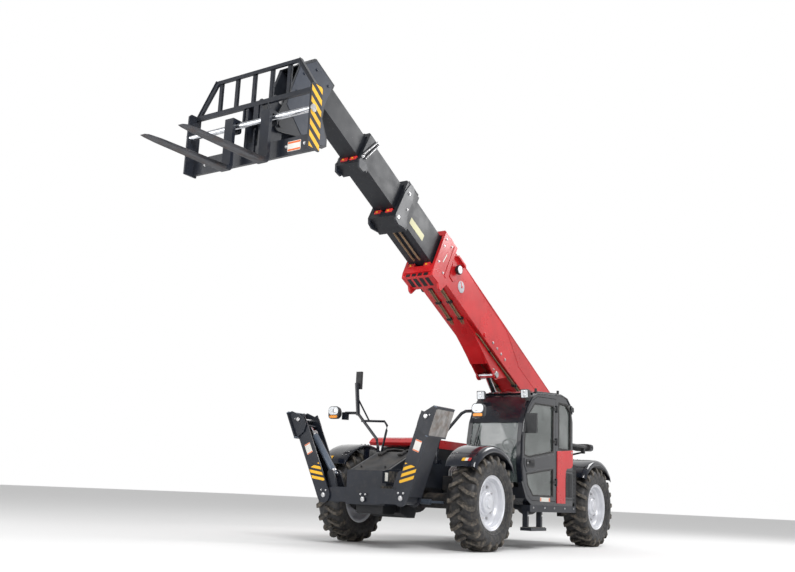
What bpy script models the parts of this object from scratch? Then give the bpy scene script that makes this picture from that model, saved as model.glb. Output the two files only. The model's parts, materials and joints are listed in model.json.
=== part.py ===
"""Telehandler with a four-stage boom, front stabilisers and a floating-fork carriage.

Machine axes: +X forward, +Y to the cab side, +Z up, metres.  The machine is laid out from
the point on the ground midway between the axles, and the whole of it is then shifted so
that the origin lies at the bottom centre of its bounding box.
"""

import math

import bmesh
import bpy
from mathutils import Matrix, Vector

# ---------------------------------------------------------------- driving dimensions
GAP = 0.0003                    # between pieces that touch
PLATE = 0.030                   # chassis plate
WHEELBASE = 3.28
TYRE_RADIUS = 0.585
TYRE_INNER_Y, TYRE_OUTER_Y = 0.82, 1.19
RIM_OUTER_Y = 1.152
RIM_INNER_Y = 0.862
RIM_FLANGE_RADIUS = 0.335
RIM_BARREL_RADIUS = 0.305
KINGPIN_Y = 0.72
MUDGUARD_RADIUS = 0.70

BOOM_PIVOT = (-2.0, 0.0, 1.85)
BOOM_ELEVATION = math.radians(27.4)

CARRIAGE_PIN = (4.87, 0.0, 4.565)
FORK_FRAME_HALF_WIDTH = 0.906
FORK_LENGTH = 1.17
FORK_SHAFT = (5.20, 4.475)      # x, z
FORK_HEEL_Z = 3.95

FRONT_END_X = FORK_SHAFT[0] + 0.05 + FORK_LENGTH
REAR_END_X = -2.60
ORIGIN_X = (FRONT_END_X + REAR_END_X) / 2

# boom sections: half width, top and bottom above the pivot line, rear and front station
BOOM_SECTIONS = {
    # name: (half_width, top, bottom, rear, front)
    "boom_section_1": (0.210, 0.466, -0.095, -0.26, 4.15),
    "boom_section_2": (0.176, 0.431, -0.040, 0.78, 5.19),
    "boom_section_3": (0.150, 0.396, 0.004, 1.80, 6.10),
    "boom_section_4": (0.126, 0.365, 0.040, 2.70, 7.06),
}
BOOM_WALL = 0.010
# collars at the front of the sections: half width, top, bottom, rear station
BOOM_COLLARS = {
    "boom_section_1": (0.245, 0.540, -0.190, 3.80),
    "boom_section_2": (0.212, 0.500, -0.130, 4.88),
    "boom_section_3": (0.182, 0.450, -0.070, 5.90),
}
LUG_PIN = (1.84, -0.280)        # station and height of the lift cylinder's upper pin
LIFT_BASE = (-1.65, 1.00)       # x, z of the lift cylinder's lower pin

# stabilisers: side, x of the front face, pivot y, pivot z, foot pin y, foot pin z
STABILISERS = {
    "right": (-1, 2.716, 0.646, 0.595, 1.110, 1.53),
    "left": (1, 2.915, 0.646, 0.595, 0.965, 1.53),
}
ARM_DEPTH = 0.286
ARM_HALF_WIDTH = 0.095
ARM_PLATE = 0.015
STABILISER_EAR = (0.600, 0.860)  # y, z of the stabiliser cylinder's lower pin

# colour, metallic, roughness
PAINTS = {
    "red_paint": ((0.62, 0.035, 0.03), 0.0, 0.32),
    "black_paint": ((0.035, 0.038, 0.045), 0.0, 0.38),
    "gloss_black": ((0.02, 0.025, 0.04), 0.0, 0.15),
    "tyre_rubber": ((0.03, 0.029, 0.028), 0.0, 0.85),
    "silver_paint": ((0.78, 0.79, 0.82), 0.3, 0.35),
    "cast_iron": ((0.16, 0.16, 0.17), 0.6, 0.55),
    "chrome": ((0.72, 0.74, 0.76), 1.0, 0.12),
    "worn_steel": ((0.22, 0.22, 0.23), 0.8, 0.45),
    "tinted_glass": ((0.05, 0.09, 0.09), 0.0, 0.05),
    "seat_vinyl": ((0.05, 0.055, 0.065), 0.0, 0.6),
    "lamp_glass": ((0.75, 0.78, 0.8), 0.0, 0.1),
}


# ---------------------------------------------------------------- modelling helpers
def clear_scene():
    """Remove every object of the scene that the file opens with."""
    for obj in list(bpy.data.objects):
        bpy.data.objects.remove(obj, do_unlink=True)


def make_paint(name):
    """Principled material of the given name from the table of paints."""
    if name in bpy.data.materials:
        return bpy.data.materials[name]
    colour, metallic, roughness = PAINTS[name]
    material = bpy.data.materials.new(name)
    material.use_nodes = True
    shader = material.node_tree.nodes["Principled BSDF"]
    shader.inputs["Base Color"].default_value = (*colour, 1.0)
    shader.inputs["Metallic"].default_value = metallic
    shader.inputs["Roughness"].default_value = roughness
    if name == "tinted_glass":
        shader.inputs["Alpha"].default_value = 0.35
    return material


def make_empty(name, location, rotation=(0.0, 0.0, 0.0), parent=None):
    """Empty that stands on a joint's axis and carries a body's pieces."""
    empty = bpy.data.objects.new(name, None)
    empty.empty_display_size = 0.2
    empty.location = location
    empty.rotation_euler = rotation
    empty.parent = parent
    bpy.context.collection.objects.link(empty)
    return empty


def solid_from(bm):
    """Mesh from a bmesh whose faces are turned to point out."""
    bmesh.ops.recalc_face_normals(bm, faces=bm.faces)
    mesh = bpy.data.meshes.new("solid")
    bm.to_mesh(mesh)
    bm.free()
    return mesh


def box(x0, x1, y0, y1, z0, z1):
    """Rectangular block between two corners."""
    bm = bmesh.new()
    bmesh.ops.create_cube(bm, size=1.0)
    size = Vector((x1 - x0, y1 - y0, z1 - z0))
    middle = Vector(((x0 + x1) / 2, (y0 + y1) / 2, (z0 + z1) / 2))
    bmesh.ops.scale(bm, vec=size, verts=bm.verts)
    bmesh.ops.translate(bm, vec=middle, verts=bm.verts)
    return solid_from(bm)


def prism(outline, axis, low, high):
    """Outline extruded along an axis: (x, z) for "y", (y, z) for "x", (x, y) for "z"."""
    def place(point, along):
        a, b = point
        return {"x": (along, a, b), "y": (a, along, b), "z": (a, b, along)}[axis]

    bm = bmesh.new()
    face = bm.faces.new([bm.verts.new(place(point, low)) for point in outline])
    grown = bmesh.ops.extrude_face_region(bm, geom=[face])
    moved = [item for item in grown["geom"] if isinstance(item, bmesh.types.BMVert)]
    travel = Vector(place((0.0, 0.0), high - low))
    bmesh.ops.translate(bm, vec=travel, verts=moved)
    return solid_from(bm)


def rod(start, end, radius, sides=16, end_radius=None):
    """Round bar between two points."""
    start, end = Vector(start), Vector(end)
    direction = end - start
    turn = direction.to_track_quat("Z", "Y").to_matrix().to_4x4()
    bm = bmesh.new()
    bmesh.ops.create_cone(
        bm, cap_ends=True, segments=sides, radius1=radius,
        radius2=radius if end_radius is None else end_radius, depth=direction.length,
        matrix=Matrix.Translation((start + end) / 2) @ turn)
    return solid_from(bm)


def lathe(profile, axis, sides=32):
    """Closed profile of (radius, along) points turned about an axis through the origin."""
    bm = bmesh.new()
    rings = []
    for index in range(sides):
        angle = 2 * math.pi * index / sides
        c, s = math.cos(angle), math.sin(angle)
        ring = []
        for radius, along in profile:
            point = {"x": (along, radius * c, radius * s),
                     "y": (radius * s, along, radius * c),
                     "z": (radius * c, radius * s, along)}[axis]
            ring.append(bm.verts.new(point))
        rings.append(ring)
    count = len(profile)
    for index in range(sides):
        near, far = rings[index], rings[(index + 1) % sides]
        for k in range(count):
            bm.faces.new((near[k], near[(k + 1) % count], far[(k + 1) % count], far[k]))
    bmesh.ops.remove_doubles(bm, verts=bm.verts, dist=1e-6)
    bmesh.ops.dissolve_degenerate(bm, edges=bm.edges, dist=1e-6)
    return solid_from(bm)


def arc(centre, radius, start, end, steps):
    """Points of an arc, with its angles in degrees."""
    return [(centre[0] + radius * math.cos(math.radians(start + (end - start) * k / steps)),
             centre[1] + radius * math.sin(math.radians(start + (end - start) * k / steps)))
            for k in range(steps + 1)]


def inset_outline(outline, distance):
    """Closed outline moved inwards by a distance, corner by corner."""
    area = sum(a[0] * b[1] - b[0] * a[1] for a, b in zip(outline, outline[1:] + outline[:1]))
    side = 1.0 if area > 0 else -1.0
    moved = []
    count = len(outline)
    for index in range(count):
        before = Vector(outline[index - 1])
        here = Vector(outline[index])
        after = Vector(outline[(index + 1) % count])
        first = (here - before).normalized()
        second = (after - here).normalized()
        normal_1 = Vector((-first.y, first.x)) * side
        normal_2 = Vector((-second.y, second.x)) * side
        middle = (normal_1 + normal_2).normalized()
        moved.append(tuple(here + middle * distance / max(0.3, middle.dot(normal_1))))
    return moved


def tube_path(points, radius, sides=10):
    """Bent tube through a list of points, with flat ends."""
    bm = bmesh.new()
    rings = []
    points = [Vector(point) for point in points]
    guide = Vector((0.0, 0.0, 1.0))
    for index, point in enumerate(points):
        before = points[max(index - 1, 0)]
        after = points[min(index + 1, len(points) - 1)]
        along = (after - before).normalized()
        across = along.cross(guide)
        if across.length < 0.2:
            across = along.cross(Vector((1.0, 0.0, 0.0)))
        across.normalize()
        upward = across.cross(along)
        ring = []
        for k in range(sides):
            angle = 2 * math.pi * k / sides
            ring.append(bm.verts.new(
                point + radius * (math.cos(angle) * across + math.sin(angle) * upward)))
        rings.append(ring)
    for near, far in zip(rings, rings[1:]):
        for k in range(sides):
            bm.faces.new((near[k], near[(k + 1) % sides], far[(k + 1) % sides], far[k]))
    bm.faces.new(rings[0])
    bm.faces.new(rings[-1])
    return solid_from(bm)


def mirror_y(mesh):
    """Mesh mirrored to the other side of the machine."""
    bm = bmesh.new()
    bm.from_mesh(mesh)
    bmesh.ops.scale(bm, vec=(1.0, -1.0, 1.0), verts=bm.verts)
    return solid_from(bm)


def combine(meshes, cuts=()):
    """Boolean union of several solids, less the cutters."""
    tools = []

    def stand(mesh):
        tool = bpy.data.objects.new("tool", mesh)
        bpy.context.collection.objects.link(tool)
        tools.append(tool)
        return tool

    base = stand(meshes[0])
    for operation, group in (("UNION", meshes[1:]), ("DIFFERENCE", cuts)):
        for mesh in group:
            modifier = base.modifiers.new(operation.lower(), "BOOLEAN")
            modifier.operation = operation
            modifier.object = stand(mesh)
    graph = bpy.context.evaluated_depsgraph_get()
    result = bpy.data.meshes.new_from_object(base.evaluated_get(graph))
    for tool in tools:
        bpy.data.objects.remove(tool, do_unlink=True)
    bm = bmesh.new()
    bm.from_mesh(result)
    bmesh.ops.remove_doubles(bm, verts=bm.verts, dist=1e-5)
    bmesh.ops.dissolve_limit(
        bm, angle_limit=math.radians(0.5), verts=bm.verts, edges=bm.edges)
    return solid_from(bm)


def add_piece(name, mesh, paint, parent, location=(0.0, 0.0, 0.0), smooth=False):
    """Named object with its paint, carried by an empty."""
    piece = bpy.data.objects.new(name, mesh)
    mesh.name = name
    piece.location = location
    piece.parent = parent
    mesh.materials.clear()
    mesh.materials.append(make_paint(paint))
    bpy.context.collection.objects.link(piece)
    if smooth:
        mesh.shade_smooth()
        mesh.set_sharp_from_angle(angle=math.radians(35))
    return piece


# ---------------------------------------------------------------- chassis
AXLE_X = WHEELBASE / 2
WEB_Z = 0.76                    # underside of the web plate that rests over the axles
SIDE_PLATE_Y = (0.26, 0.29)
NOSE_X = 2.716


def chassis_outline():
    """Side view of a chassis plate, with arches over both axles and the boom tower."""
    def arch(x):
        return [(x + 0.30, 0.52), (x + 0.24, WEB_Z - 0.02), (x - 0.24, WEB_Z - 0.02),
                (x - 0.30, 0.52)]

    tower_x, _, tower_z = BOOM_PIVOT
    top = arc((tower_x, tower_z), 0.20, 15, 165, 6)
    return ([(NOSE_X - 0.02, 0.50)] + arch(AXLE_X) + arch(-AXLE_X)
            + [(-2.30, 0.56), (-2.30, 1.30)] + top[::-1]
            + [(-1.40, 1.22), (-1.10, 1.10), (1.60, 1.10), (2.10, 1.16), (NOSE_X - 0.02, 0.90)])


def build_chassis(machine):
    """Welded frame: side plates, web, nose, stabiliser beam, tower, sills."""
    inner, outer = SIDE_PLATE_Y
    outline = chassis_outline()
    pieces = [prism(outline, "y", -outer, -inner), prism(outline, "y", inner, outer)]
    reach = inner + 0.005
    pieces.append(box(-2.29, NOSE_X - 0.02, -reach, reach, WEB_Z, WEB_Z + PLATE))
    # nose: front plate and sloping deck
    pieces.append(box(NOSE_X - 0.04, NOSE_X, -0.292, 0.292, 0.50, 0.91))
    deck = [(NOSE_X - 0.03, 0.86), (NOSE_X - 0.03, 0.90), (2.10, 1.16), (2.10, 1.12)]
    pieces.append(prism(deck, "y", -reach, reach))
    # stabiliser beam with a lug and two cylinder ears at each end
    for side, front, pivot_y, pivot_z, _, _ in STABILISERS.values():
        middle = front - ARM_DEPTH / 2
        half = ARM_DEPTH / 2 - ARM_PLATE - 0.008
        beam = [(0.20, 0.52), (pivot_y, 0.525)]
        beam += arc((pivot_y, pivot_z), 0.072, -80, 100, 8)
        beam += [(0.52, 0.70), (0.20, 0.70)]
        beam = [(side * y, z) for y, z in beam]
        pieces.append(prism(beam, "x", middle - half, middle + half))
        ear_y, ear_z = STABILISER_EAR
        ear = [(0.47, 0.66), (0.60, 0.66)] + arc((ear_y, ear_z), 0.05, -20, 160, 6)
        ear = [(side * y, z) for y, z in ear]
        for low in (middle - 0.085, middle + 0.055):
            pieces.append(prism(ear, "x", low, low + 0.03))
    pieces.append(box(2.35, 2.89, 0.20, 0.42, 0.52, 0.70))
    # rear cross plate and seat of the lift cylinder
    pieces.append(box(-2.30, -2.27, -0.262, 0.262, 0.56, 1.28))
    base_x, base_z = LIFT_BASE
    seat = [(base_x - 0.16, WEB_Z + 0.01), (base_x + 0.16, WEB_Z + 0.01)]
    seat += arc((base_x, base_z), 0.085, 0, 180, 8)
    for low in (-0.135, 0.105):
        pieces.append(prism(seat, "y", low, low + 0.03))
    # sill under the cab, platform under the engine pod and their outriggers
    pieces.append(box(-0.93, 0.55, 1.00, 1.125, 0.49, 0.578))
    for x in (-0.80, -0.25, 0.30):
        pieces.append(box(x, x + 0.14, 0.27, 1.02, 0.52, 0.572))
        pieces.append(box(x, x + 0.14, -1.05, -0.27, 0.50, 0.555))
    pieces.append(box(-0.87, 0.84, -1.06, -0.96, 0.50, 0.5555))
    # cab step: two hangers and a tread
    for x in (0.12, 0.53):
        pieces.append(box(x, x + 0.05, 1.03, 1.10, 0.27, 0.50))
    pieces.append(box(0.12, 0.58, 1.00, 1.16, 0.245, 0.285))
    # rear lamp arms
    for side in (-1, 1):
        low, high = sorted((side * 0.28, side * 0.86))
        pieces.append(box(-2.22, -2.12, low, high, 1.46, 1.54))
    add_piece("chassis_frame", combine(pieces), "black_paint", machine)
    # counterweight across the rear
    outline = [(-2.60, 0.62), (-2.56, 0.56), (-2.3005, 0.56), (-2.3005, 1.04), (-2.50, 1.04),
               (-2.60, 0.94)]
    add_piece("rear_counterweight", prism(outline, "y", -0.66, 0.66), "black_paint", machine)


def build_axle(name, x, machine):
    """Axle housing with a saddle, a differential and a yoke at each end."""
    yoke = KINGPIN_Y
    housing = rod((x, -0.60, TYRE_RADIUS), (x, 0.60, TYRE_RADIUS), 0.095, 16)
    bowl = lathe([(0.0, -0.17), (0.10, -0.16), (0.165, -0.08), (0.165, 0.08), (0.10, 0.16),
                  (0.0, 0.17)], "x", 20)
    bowl.transform(Matrix.Translation((x, 0.0, TYRE_RADIUS)))
    pieces = [housing, bowl,
              box(x - 0.11, x + 0.11, -0.20, 0.20, TYRE_RADIUS, WEB_Z - GAP)]
    for side in (-1, 1):
        low, high = sorted((side * 0.55, side * 0.635))
        pieces.append(box(x - 0.10, x + 0.10, low, high, TYRE_RADIUS - 0.165,
                          TYRE_RADIUS + 0.165))
        low, high = sorted((side * 0.60, side * (yoke + 0.025)))
        for z in (TYRE_RADIUS - 0.165, TYRE_RADIUS + 0.125):
            pieces.append(box(x - 0.07, x + 0.07, low, high, z, z + 0.04))
    add_piece(name, combine(pieces), "cast_iron", machine)


# ---------------------------------------------------------------- wheels and steering
def wheel_meshes():
    """Rim and tyre meshes of the left side, turned about Y through the wheel centre."""
    flange, barrel = RIM_FLANGE_RADIUS, RIM_BARREL_RADIUS
    disc_y = 1.03
    rim = [(0.0, disc_y + 0.02), (0.13, disc_y + 0.02), (0.15, disc_y - 0.004),
           (0.24, disc_y - 0.004), (barrel - 0.014, disc_y + 0.03),
           (barrel - 0.014, RIM_OUTER_Y), (flange, RIM_OUTER_Y), (flange, RIM_OUTER_Y - 0.012),
           (barrel, RIM_OUTER_Y - 0.016), (barrel, RIM_INNER_Y + 0.016),
           (flange, RIM_INNER_Y + 0.012), (flange, RIM_INNER_Y), (barrel - 0.014, RIM_INNER_Y),
           (barrel - 0.014, disc_y - 0.02), (0.0, disc_y - 0.02)]
    inner, outer, radius = TYRE_INNER_Y, TYRE_OUTER_Y, TYRE_RADIUS
    bore = barrel + GAP
    tyre = [(bore, RIM_INNER_Y + 0.018), (bore, RIM_OUTER_Y - 0.018),
            (flange, RIM_OUTER_Y - 0.0135), (flange + GAP, RIM_OUTER_Y - 0.012),
            (flange + 0.010, RIM_OUTER_Y + 0.012), (0.42, outer), (0.50, outer - 0.006),
            (radius - 0.03, outer - 0.03), (radius, outer - 0.055), (radius, inner + 0.055),
            (radius - 0.03, inner + 0.03), (0.50, inner + 0.006), (0.42, inner),
            (flange + 0.010, RIM_INNER_Y - 0.012), (flange + GAP, RIM_INNER_Y + 0.012),
            (flange, RIM_INNER_Y + 0.0135)]
    return lathe(rim, "y", 32), lathe(tyre, "y", 32)


def build_corner(name, x, side, machine, rim, tyre):
    """Steered knuckle with its mudguard, and the wheel that turns on it."""
    kingpin = make_empty(name + "_kingpin", (x, side * KINGPIN_Y, TYRE_RADIUS), parent=machine)

    def seated(mesh):
        mesh.transform(Matrix.Translation((0.0, -KINGPIN_Y, 0.0)))
        return mesh if side > 0 else mirror_y(mesh)

    # knuckle: kingpin post between the yoke's ears, spindle and hub drum
    drum = [(0.0, 0.785), (0.16, 0.785), (0.17, 0.80), (0.17, 0.93), (0.11, 0.95),
            (0.11, 1.0085), (0.0, 1.0085)]
    knuckle = combine([rod((0.0, KINGPIN_Y, -0.122), (0.0, KINGPIN_Y, 0.122), 0.062, 16),
                       rod((0.0, KINGPIN_Y, 0.0), (0.0, 0.80, 0.0), 0.10, 16),
                       lathe(drum, "y", 24)])
    add_piece(name + "_knuckle", seated(knuckle), "cast_iron", kingpin)
    # mudguard: arched sheet on a post that stands on the knuckle
    outer_arc = arc((0.0, 0.0), MUDGUARD_RADIUS, 38, 142, 12)
    inner_arc = arc((0.0, 0.0), MUDGUARD_RADIUS - 0.015, 142, 38, 12)
    sheet = prism(outer_arc + inner_arc, "y", 0.76, 1.195)
    post = box(-0.035, 0.035, 0.783, 0.812, 0.170 + GAP, MUDGUARD_RADIUS - 0.008)
    add_piece(name + "_mudguard", seated(combine([sheet, post])), "gloss_black", kingpin)
    hub = make_empty(name + "_hub", (0.0, 0.0, 0.0), parent=kingpin)
    for part, mesh, paint in (("rim", rim, "silver_paint"), ("tyre", tyre, "tyre_rubber")):
        add_piece(name + "_" + part, seated(mesh.copy()), paint, hub, smooth=True)


def build_running_gear(machine):
    """Two axles and four steered corners."""
    rim, tyre = wheel_meshes()
    for end, x in (("front", AXLE_X), ("rear", -AXLE_X)):
        build_axle(end + "_axle", x, machine)
        for hand, side in (("left", 1), ("right", -1)):
            build_corner(end + "_" + hand, x, side, machine, rim, tyre)


# ---------------------------------------------------------------- cab
CAB_Y = (0.30, 1.12)
CAB_WALL = 0.040
CAB_BASE_Z = 0.5783
CAB_REAR_X = -0.83
DOOR_HINGE = (-0.262, 1.118)    # x, y


def cab_outline():
    """Side view of the cab: flat back, rounded roof and bulging front."""
    front = [(0.50, CAB_BASE_Z), (0.66, 0.66), (0.79, 0.86), (0.84, 1.10), (0.84, 1.40),
             (0.79, 1.64), (0.68, 1.86), (0.52, 2.02), (0.36, 2.09)]
    roof = [(-0.42, 2.15), (-0.62, 2.12), (-0.76, 2.00), (CAB_REAR_X, 1.78)]
    return [(CAB_REAR_X, CAB_BASE_Z)] + front + roof


def door_outline(inset):
    """Door opening: the cab's outline forward of the centre pillar, inset all round."""
    edge = inset_outline(cab_outline(), inset)
    cut = DOOR_HINGE[0] + inset - 0.045
    forward = [point for point in edge if point[0] > cut]
    top_z = 2.10 - inset + 0.02
    return [(cut, CAB_BASE_Z + inset)] + forward + [(cut, top_z)]


def band(outline, depth, inset, low_z, high_z):
    """Part of the cab's front skin between two heights, as a closed strip outline."""
    outside = inset_outline(outline, inset)
    inside = inset_outline(outline, inset + depth)
    kept = [index for index, point in enumerate(outline)
            if point[0] > 0.3 and low_z < point[1] < high_z]
    return [outside[index] for index in kept] + [inside[index] for index in reversed(kept)]


def build_cab(machine):
    """Hollow cab shell, its panes, seat and steering column."""
    low_y, high_y = CAB_Y
    outline = cab_outline()
    shell = prism(outline, "y", low_y, high_y)
    hollow = prism(inset_outline(outline, CAB_WALL), "y", low_y + CAB_WALL, high_y - CAB_WALL)
    cuts = [hollow,
            prism(door_outline(0.055), "y", high_y - CAB_WALL - 0.01, high_y + 0.01),
            box(-0.765, -0.345, high_y - 0.1, high_y + 0.1, 1.36, 2.02),
            box(CAB_REAR_X - 0.05, CAB_REAR_X + 0.09, low_y + 0.07, high_y - 0.07, 1.30, 1.76),
            box(-0.72, 0.52, low_y - 0.05, low_y + 0.05, 1.30, 1.94),
            box(0.34, 1.00, low_y + 0.06, high_y - 0.06, 0.80, 2.03)]
    add_piece("cab_shell", combine([shell], cuts), "gloss_black", machine)
    # windscreen: curved pane inside the front opening
    pane = prism(band(outline, 0.006, 0.012, 0.80, 2.03), "y", low_y + 0.0603,
                 high_y - 0.0603)
    add_piece("windscreen", pane, "tinted_glass", machine)
    panes = {
        # name: (x0, x1, y0, y1, z0, z1)
        "left_quarter_window": (-0.765, -0.345, high_y - 0.024, high_y - 0.018, 1.36, 2.02),
        "rear_window": (CAB_REAR_X + 0.017, CAB_REAR_X + 0.023, low_y + 0.07, high_y - 0.07,
                        1.30, 1.76),
        "right_window": (-0.72, 0.52, low_y + 0.017, low_y + 0.023, 1.30, 1.94),
    }
    for name, (x0, x1, y0, y1, z0, z1) in panes.items():
        thin_x = x1 - x0 < 0.01
        edge_x = 0.0 if thin_x else GAP
        edge_y = GAP if thin_x else 0.0
        pane = box(x0 + edge_x, x1 - edge_x, y0 + edge_y, y1 - edge_y, z0 + GAP, z1 - GAP)
        add_piece(name, pane, "tinted_glass", machine)
    floor_z = CAB_BASE_Z + CAB_WALL + GAP
    middle = (low_y + high_y) / 2
    seat = combine([
        box(-0.55, -0.15, middle - 0.18, middle + 0.18, floor_z, 0.90),
        box(-0.62, -0.06, middle - 0.25, middle + 0.25, 0.895, 1.05),
        prism([(-0.62, 1.0), (-0.50, 1.0), (-0.58, 1.60), (-0.70, 1.60)], "y",
              middle - 0.24, middle + 0.24),
        prism([(-0.66, 1.59), (-0.59, 1.59), (-0.62, 1.80), (-0.70, 1.80)], "y",
              middle - 0.13, middle + 0.13)])
    add_piece("operator_seat", seat, "seat_vinyl", machine)
    wheel = lathe([(0.165 + 0.014 * math.cos(a), 0.014 * math.sin(a)) for a in
                   [math.pi * k / 3 for k in range(6)]], "z", 20)
    tilt = Matrix.Translation((0.22, middle, 1.36)) @ Matrix.Rotation(math.radians(-35), 4, "Y")
    wheel.transform(tilt)
    spoke = box(-0.165, 0.165, -0.02, 0.02, -0.008, 0.008)
    spoke.transform(tilt)
    column = combine([
        box(0.24, 0.40, middle - 0.09, middle + 0.09, floor_z, 0.98),
        rod((0.34, middle, 0.95), (0.225, middle, 1.355), 0.035, 12), wheel, spoke])
    add_piece("steering_column", column, "seat_vinyl", machine)
    # cab door on its hinge at the centre pillar
    hinge_x, hinge_y = DOOR_HINGE
    hinge = make_empty("cab_door_hinge", (hinge_x, hinge_y, 0.0), parent=machine)
    leaf = prism(door_outline(0.061), "y", high_y - 0.036, high_y)
    upper = prism([(hinge_x + 0.09, 1.31), (0.58, 1.20), (0.725, 1.22), (0.725, 1.42),
                   (0.68, 1.62), (0.58, 1.80), (0.42, 1.94), (hinge_x + 0.09, 1.96)],
                  "y", high_y - 0.1, high_y + 0.1)
    lower = prism([(hinge_x + 0.09, 0.70), (0.46, 0.70), (0.62, 0.84), (0.66, 0.98),
                   (hinge_x + 0.09, 1.08)], "y", high_y - 0.1, high_y + 0.1)
    door = combine([leaf], [upper, lower])
    shift = Matrix.Translation((-hinge_x, -hinge_y, 0.0))
    door.transform(shift)
    add_piece("cab_door", door, "gloss_black", hinge)
    upper_pane = prism(inset_outline(
        [(hinge_x + 0.09, 1.31), (0.58, 1.20), (0.725, 1.22), (0.725, 1.42), (0.68, 1.62),
         (0.58, 1.80), (0.42, 1.94), (hinge_x + 0.09, 1.96)], GAP),
        "y", high_y - 0.022, high_y - 0.016)
    lower_pane = prism(inset_outline(
        [(hinge_x + 0.09, 0.70), (0.46, 0.70), (0.62, 0.84), (0.66, 0.98),
         (hinge_x + 0.09, 1.08)], GAP), "y", high_y - 0.022, high_y - 0.016)
    for name, pane in (("door_upper_glass", upper_pane), ("door_lower_glass", lower_pane)):
        pane.transform(shift)
        add_piece(name, pane, "tinted_glass", hinge)
    # ribbed box between the cab and the rear wheel
    plan = [(CAB_REAR_X - 0.0003, 0.97), (-0.90, 0.97), (-0.965, 1.118),
            (CAB_REAR_X - 0.0003, 1.118)]
    add_piece("battery_box", prism(plan, "z", CAB_BASE_Z, 1.15), "black_paint", machine)


# ---------------------------------------------------------------- engine side
POD_Y = (-1.08, -0.32)
POD_TOP_Z = 1.30


def build_engine_side(machine):
    """Open-topped engine pod, the engine as one block, and the hinged hood."""
    low_y, high_y = POD_Y
    side = [(-0.905, 0.60), (-0.875, 0.5563), (0.80, 0.5563), (0.86, 0.62), (0.86, POD_TOP_Z),
            (-0.905, POD_TOP_Z)]
    shell = prism(side, "y", low_y, high_y)
    hollow = box(-0.875, 0.83, low_y + 0.03, high_y - 0.03, 0.59, POD_TOP_Z + 0.1)
    add_piece("engine_pod", combine([shell], [hollow]), "black_paint", machine)
    add_piece("engine_block", box(-0.45, 0.45, -0.97, -0.43, 0.5903, 1.18), "cast_iron", machine)
    # hood: shallow cover with a rounded front and back, hinged along its inner top edge
    top = 1.425
    hinge_y = high_y + 0.01
    hinge = make_empty("engine_hood_hinge", (0.0, hinge_y, top), parent=machine)
    bottom = POD_TOP_Z + 0.006
    profile = [(-1.10, bottom), (1.16, bottom), (1.19, bottom + 0.04), (1.12, top - 0.02),
               (1.02, top), (-0.98, top), (-1.08, top - 0.03), (-1.12, bottom + 0.05)]
    lid = prism(profile, "y", low_y - 0.01, high_y)
    inside = prism(inset_outline(profile, 0.02), "y", low_y + 0.01, high_y - 0.02)
    opening = box(-0.875, 0.83, low_y + 0.03, high_y - 0.03, bottom - 0.05, bottom + 0.05)
    hood = combine([lid], [inside, opening])
    hood.transform(Matrix.Translation((0.0, -hinge_y, -top)))
    add_piece("engine_hood", hood, "red_paint", hinge)


# ---------------------------------------------------------------- lamps and mirrors
LAMP_FRAME_X = 1.85
OUTER_Y = 1.2954                # furthest reach of the mirror and of the right foot


def lamp_frame(with_mirror_post):
    """Bent tubes that stand beside the deck and reach out over the mudguard to a lamp."""
    x = LAMP_FRAME_X
    tube = 0.020
    pieces = [
        tube_path([(x, 0.455, 1.06), (x, 0.462, 1.24), (x, 0.485, 1.34), (x, 0.80, 1.665),
                   (x, 0.86, 1.692), (x, 1.03, 1.695)], tube),
        box(x - 0.06, x + 0.06, SIDE_PLATE_Y[1] + GAP, 0.50, 1.035, 1.085),
        box(x - 0.025, x + 0.055, 0.99, 1.05, 1.60, 1.70),
    ]
    if with_mirror_post:
        pieces += [
            tube_path([(x, 0.43, 1.06), (x, 0.335, 1.46), (x, 0.33, 1.52), (x, 0.375, 1.575),
                       (x, 0.75, 1.585)], 0.016),
            rod((x, 0.815, 1.66), (x, 0.865, 2.10), 0.028, 10),
            rod((x, 0.62, 1.575), (x, 0.84, 1.90), 0.012, 8),
        ]
    return combine(pieces)


def build_lamps(machine):
    """Lamp frames on both sides, headlamps and the two mirrors."""
    x = LAMP_FRAME_X
    add_piece("left_lamp_frame", lamp_frame(False), "gloss_black", machine)
    add_piece("right_lamp_frame", mirror_y(lamp_frame(True)), "gloss_black", machine)
    glass = prism([(-0.135, 2.02), (-0.045, 2.02), (-0.045, 2.26), (-0.135, 2.26)], "x",
                  x - 0.065, x - 0.0285)
    glass.transform(Matrix.Translation((0.0, -0.77, 0.0)))
    add_piece("right_mirror", glass, "black_paint", machine)
    lamp = [(0.0, -0.09), (0.045, -0.085), (0.085, -0.03), (0.088, 0.03), (0.0, 0.045)]
    for name, side in (("left_headlamp", 1), ("right_headlamp", -1)):
        body = lathe(lamp, "x", 20)
        body.transform(Matrix.Translation((x + 0.12, side * 1.12, 1.69)))
        add_piece(name, body, "lamp_glass", machine, smooth=True)
    mirror = combine([box(0.70, 0.735, 1.135, OUTER_Y, 1.51, 1.77),
                      box(0.705, 0.73, CAB_Y[1] + GAP, 1.15, 1.70, 1.74)])
    add_piece("left_mirror", mirror, "black_paint", machine)


# ---------------------------------------------------------------- stabilisers
def lean(pivot_y, pivot_z, foot_y, foot_z):
    """Lean of a folded stabiliser arm from the vertical, and its length between pins."""
    return (math.atan2(foot_y - pivot_y, foot_z - pivot_z),
            math.hypot(foot_y - pivot_y, foot_z - pivot_z))


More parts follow.
